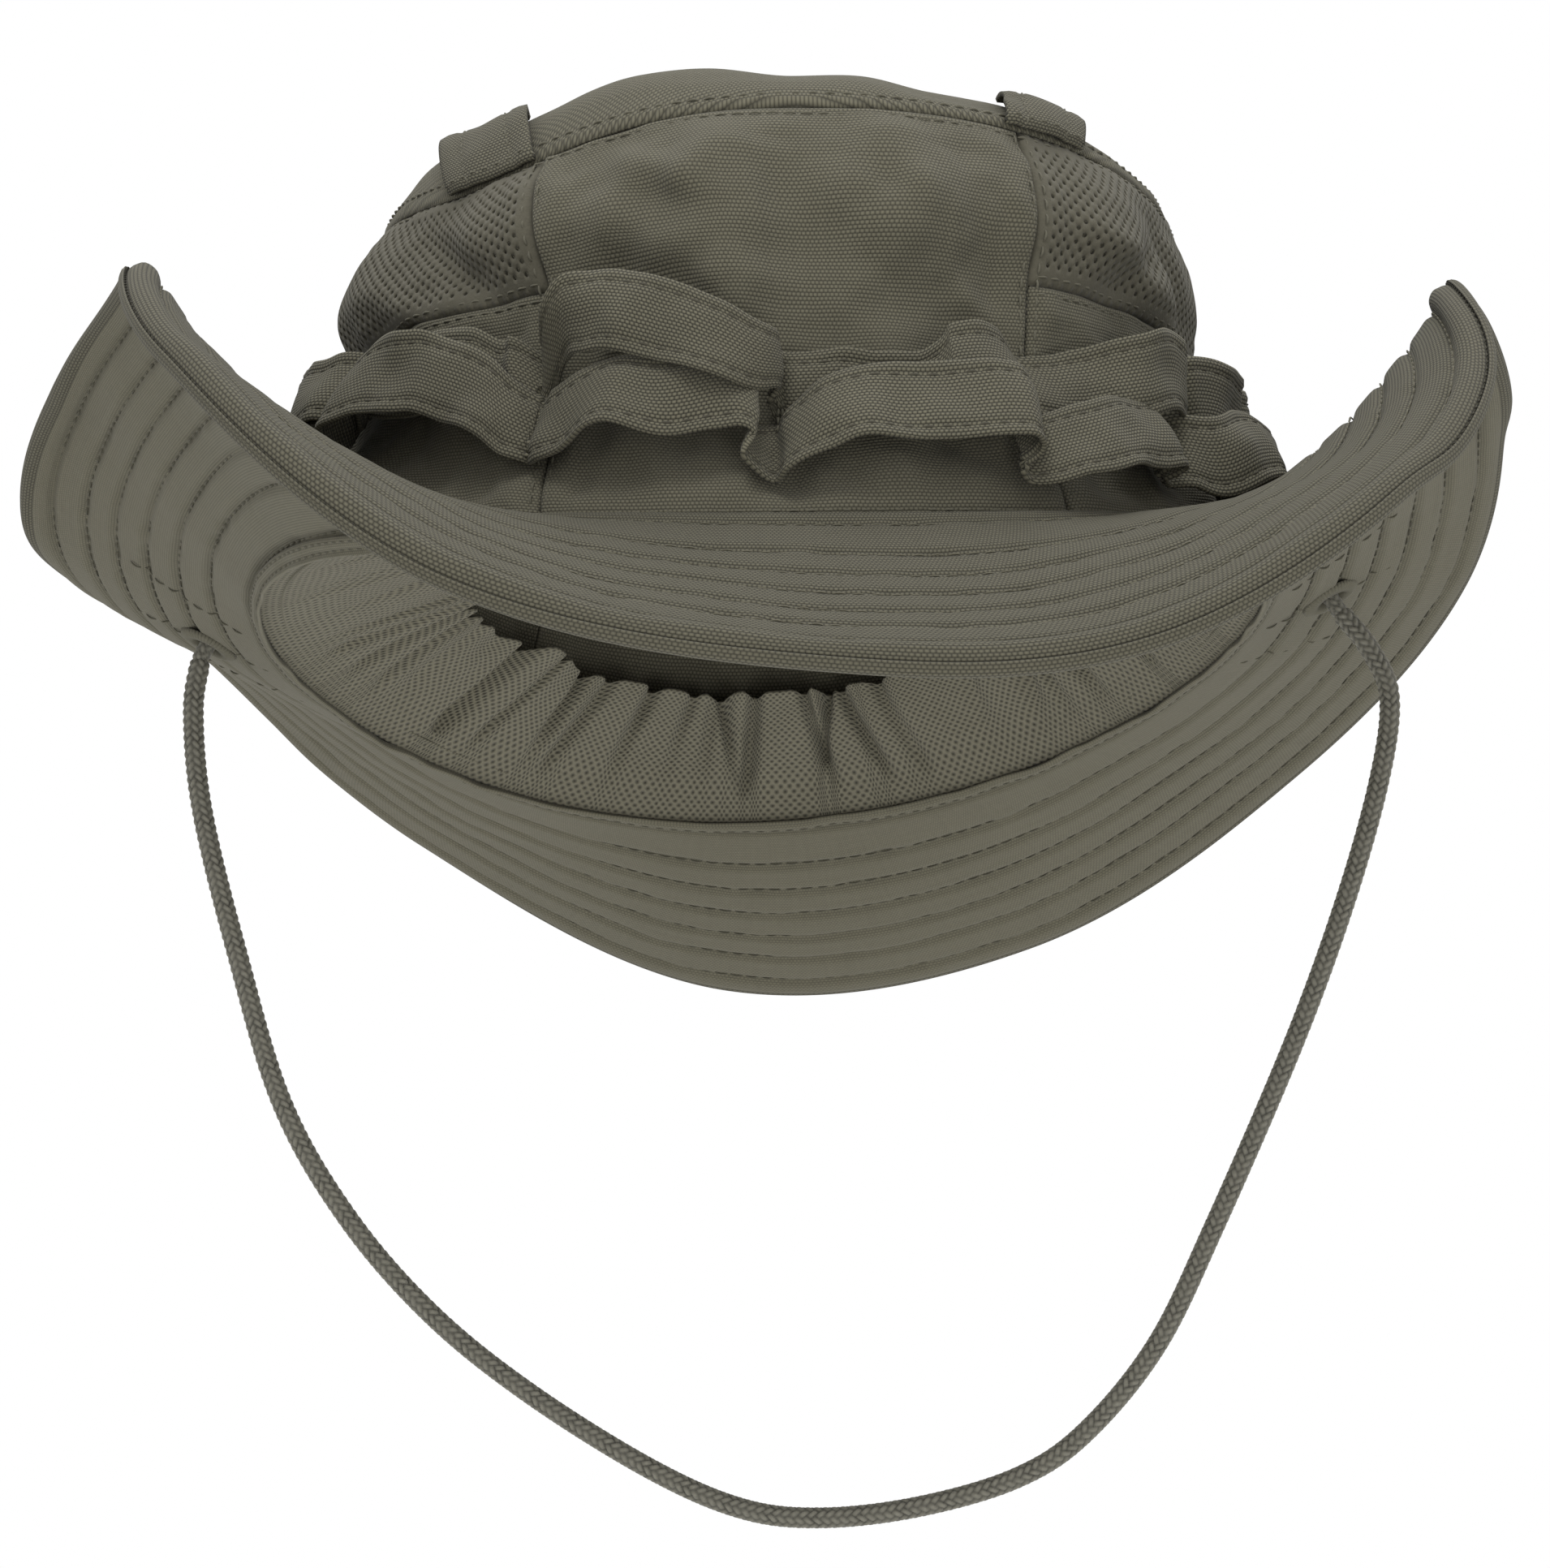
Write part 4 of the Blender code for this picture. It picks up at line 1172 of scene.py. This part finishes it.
def make_top_loops():
    """Straps sewn into the seam of the crown's top that lie back over it."""
    for side, middle, length in TOP_LOOPS:
        ways = np.linspace(0, 1, 60)
        shift = np.linspace(-LOOP_WIDTH / 2, LOOP_WIDTH / 2, 25)
        x = (middle + shift - CROWN_LEAN)[:, None] / CROWN_WIDTHS[-1]
        edge = -np.sqrt(1 - x ** 2)
        y = edge + ways[None] * length / CROWN_DEPTHS[-1]
        base, normal = dome.at(np.degrees(np.arctan2(x, -y)), np.minimum(np.hypot(x, y), 0.995))
        stand = 0.9 + 2.2 * np.sin(np.pi * ways) ** 0.7
        gap = LOOP_WIDTH / 2 - np.abs(shift)
        relief = 0.25 * smooth(gap / 1.2) - 0.3 * np.exp(-((gap - 3.2) / 0.5) ** 2)
        wave = 0.35 * noise(base, 7, 61)
        points = base + normal * (stand[None] + relief[:, None] + wave)[..., None]
        points[:, 0] += normal[:, 0] * 0.4 - np.array([0, 0, 1.2])
        made = cloth(f"top_loop_strap_{side}", points, canvas_strap, normal, STRAP,
                     "olive_canvas", f"top_loop_{side}")
        cut_cloth(points)
        runs = [(points[k], normal[k]) for k in (6, 18)]
        runs += [(points[1:-1, k], normal[1:-1, k]) for k in (3, 57)]
        sew(f"top_loop_stitches_{side}", runs, 1.9, 0.8, 0.15, thread_dull)


# ---- sweatband

BAND_LEAN = 12.0
BAND_RISE = 16.5
FLOP_ANGLE, FLOP_SPREAD = -88.0, 42.0       # where the band lies lower and further in
FLOP_LEAN, FLOP_DROP = 15.0, 6.0
PLEAT_STEP = 6.4
# Across the tape: degrees, reach and depth under the brim of one cross stitch.
CROSS_STITCH = ((0, 0.25, 0.5), (0.7, 1.7, 2.8), (2.75, 2.95, 2.6))


def make_sweatband():
    """Gathered mesh band inside the opening."""
    angles = np.arange(-180, 180, 0.35)
    part = np.linspace(0, 1, 64)[None]
    random = np.random.default_rng(8)
    pleat = np.zeros((len(angles), part.shape[1]))
    for middle in np.arange(-180, 180, PLEAT_STEP):
        middle = middle + random.uniform(-2.8, 2.8)
        lean, width = random.uniform(-5, 5), random.uniform(0.6, 1.5)
        height, reach = random.uniform(1.5, 6.5), random.uniform(0.35, 1.2)
        offset = wrapped(angles[:, None] - middle - lean * part) / width
        pleat += height * smooth(part / reach) * np.exp(-offset ** 2)
    flop = np.exp(-(wrapped(angles - FLOP_ANGLE) / FLOP_SPREAD) ** 2)[:, None]
    inset = 1.6 + (BAND_LEAN + FLOP_LEAN * flop) * part ** 1.15
    height = (BAND_RISE - FLOP_DROP * flop) * part
    out = heading(angles)[:, None]
    points = crown.at(angles[:, None], height / CROWN_SEAM_HEIGHT)[0]
    bulge = (ripples(points, (1.8, 12, 81), (0.6, 5, 82)) + 1.2) * part
    points = points - out * np.maximum(inset + bulge - pleat, 1.3)[..., None]
    foot, down = brim.at(angles, 0.8)
    foot = (foot - down * 2.3)[:, None]
    start = smooth(part / 0.10)[..., None]
    points = foot * (1 - start) + points * start
    made = cloth("sweatband_knit", points, band_mesh, -out + 0 * points, KNIT,
                 "olive_sweatband_mesh", "sweatband_mesh", ring=True)


def make_tape():
    """Tape over the sweatband's seam, with two rows of stitches and cross stitches."""
    angles = np.arange(-180, 180, 0.5)
    reaches = np.linspace(0.1, 3.4, 14)
    points, normals = brim.at(angles[:, None], reaches[None])
    dip = 0.25 * (np.exp(-((reaches - 0.9) / 0.3) ** 2) + np.exp(-((reaches - 2.6) / 0.3) ** 2))
    edge = 0.9 * (1 - smooth((3.4 - reaches) / 0.6)) - 0.5 * (1 - smooth((reaches - 0.1) / 0.6))
    lift = -(HALF_THICKNESS + 1.25 - dip - edge)[None] - 0.25 * noise(points, 6, 71)
    points = points + normals * lift[..., None]
    cloth("sweatband_tape_cloth", points, twill, -normals, KNIT, "olive_twill", "sweatband_tape",
          ring=True)
    runs = [(closed(points[:, k]), -closed(normals[:, k])) for k in (3, 10)]
    turns, reaches, depths = (np.array(part) for part in CROSS_STITCH)
    for angle in np.arange(-180, 180, 0.9):
        foot, down = brim.at(angle + turns, reaches)
        runs.append((foot - down * depths[:, None], -down))
    sew("sweatband_stitches", runs, 2.0, 0.7, 0.17, thread_under)


# ---- chin cord

BRAID_STRANDS = 8
BRAID_PITCH = 1.55


def braid_height(turn, distance):
    """Relief of a round braid: two sets of strands, each over two and under two."""
    u = turn / (2 * np.pi) * BRAID_STRANDS
    w = distance / BRAID_PITCH
    first, second = u - w, u + w
    i, j = np.floor(first), np.floor(second)
    a, b = first - i, second - j
    turn_of = np.mod(i + j, 4)
    over_first = turn_of < 2
    across = np.where(over_first, a, b)
    run = np.where(over_first, (turn_of + b) / 2, (turn_of - 2 + a) / 2)
    return np.sqrt(np.clip(1 - (2 * across - 1) ** 2, 0, 1)) * np.sin(np.pi * np.clip(run, 0, 1)) ** 0.5


def tube_points(path, radius, relief, sides, step, ends=True):
    """Points of a braided tube along a path, with rounded ends."""
    distance = run_lengths(path)
    total = distance[-1]
    places = np.arange(0, total, step)
    centre = along_run(places, distance, path)
    way = unit(np.gradient(centre, axis=0))
    side = np.empty_like(way)
    guess = np.array([0.0, 1.0, 0.0]) if abs(way[0][1]) < 0.9 else np.array([1.0, 0.0, 0.0])
    for k, direction in enumerate(way):
        guess = guess - direction * (guess @ direction)
        guess = guess / np.linalg.norm(guess)
        side[k] = guess
    up = np.cross(way, side)
    turns = np.arange(sides) / sides * 2 * np.pi
    ridge = braid_height(turns[None], places[:, None])
    size = radius - relief + relief * 1.35 * ridge
    if ends:
        cap = np.minimum(places, total - places) / radius
        size = size * np.sqrt(np.clip(1 - (1 - np.clip(cap, 0.0, 1)) ** 2, 0.02, 1))[:, None]
    ring = np.cos(turns)[None, :, None] * side[:, None] + np.sin(turns)[None, :, None] * up[:, None]
    return centre[:, None] + ring * size[..., None], centre, ridge


def tube_object(name, path, radius, relief, sides, step, material, ring=False):
    """Braided tube as a closed mesh."""
    points, centre, ridge = tube_points(path, radius, relief, sides, step, not ring)
    count = len(points)
    index = np.arange(count * sides).reshape(count, sides)
    onward = np.roll(index, -1, axis=1)
    last = index[:-1], index[1:], onward[1:], onward[:-1]
    if ring:
        last = index, np.roll(index, -1, axis=0), np.roll(onward, -1, axis=0), onward
    faces = np.stack(last, -1).reshape(-1, 4)[:, ::-1].tolist()
    if not ring:
        faces += [index[0].tolist(), index[-1][::-1].tolist()]
    made = mesh_object(name, points, faces, None, material)
    # The strands' height, kept for the painted shade and highlight in the cord's colour.
    braid_painted_shade = made.data.attributes.new("braid_painted_shade", "FLOAT", "POINT")
    braid_painted_shade.data.foreach_set("value", ridge.ravel().astype(np.float32))
    return made, centre


def fine_route(route):
    """The same route with many points, on a smooth curve."""
    route = np.asarray(route, float)
    padded = np.vstack([2 * route[0] - route[1], route, 2 * route[-1] - route[-2]])
    pieces = []
    for k in range(len(route) - 1):
        t = np.linspace(0, 1, 30, endpoint=False)[:, None]
        pieces.append(spline(padded[k], padded[k + 1], padded[k + 2], padded[k + 3], t))
    return np.vstack(pieces + [route[-1:]])


# The knots and the stubs through the holes: radius, relief and sides of the tube.
END_TUBE = (1.5, 0.2, 28)
KNOT_SEAT = HALF_THICKNESS + 2.0
KNOT_RADIUS, KNOT_LOBE = 1.05, 1.75


def make_knot(side, angle):
    """Overhand knot above the brim, with the stub through the hole."""
    centre, out, across, up = hole_matrix(angle)
    turn = np.linspace(0, 2 * np.pi, 241)[:-1]
    wide = KNOT_RADIUS * (2 + np.cos(3 * turn))
    x, y = wide * np.cos(2 * turn), wide * np.sin(2 * turn)
    z = KNOT_LOBE * np.sin(3 * turn) + 1.9 + KNOT_SEAT
    path = closed(centre + x[:, None] * out + y[:, None] * across + z[:, None] * up)
    knot, _ = tube_object(f"cord_knot_{side}", path, *END_TUBE, 0.3, braid, ring=True)
    heights = np.linspace(-PIVOT_DROP - 1.5, KNOT_SEAT + 2.6, 40)
    stub_path = centre + heights[:, None] * up
    stub, _ = tube_object(f"cord_stub_{side}", stub_path, *END_TUBE, 0.25, braid)
    place(knot, "hat", "olive_braid", f"cord_end_{side}")
    place(stub, "hat", "olive_braid")
    return [knot, stub]


def make_cord():
    """The chin cord between the pivots under the brim, hanging as a free U."""
    pivots = []
    for angle in CORD_HOLES:
        centre, _, _, up = hole_matrix(angle)
        pivots.append(centre - up * PIVOT_DROP)
    left, right = pivots
    middle = (left + right) / 2
    level = unit((right - left) * (1, 1, 0))
    route = [left] + [middle + level * x + np.array([0, 0, z]) for x, z in CORD_ROUTE] + [right]
    path = fine_route(route)
    made, centre = tube_object("chin_cord_braid", path, CORD_DIAMETER / 2, 0.34, 48, 0.25, braid)
    place(made, "cord", "olive_braid", "chin_cord")
    knots = make_knot("left", CORD_HOLES[0]) + make_knot("right", CORD_HOLES[1])


make_cord()
make_brim()
make_brim_stitches()
make_buttonholes()
make_crown()
for level, seed, *stations in BANDS:
    make_band(f"foliage_band_cloth_{level}", band_stations(*stations), f"foliage_band_{level}", seed)
make_tacks()
make_top_loops()
make_sweatband()
make_tape()
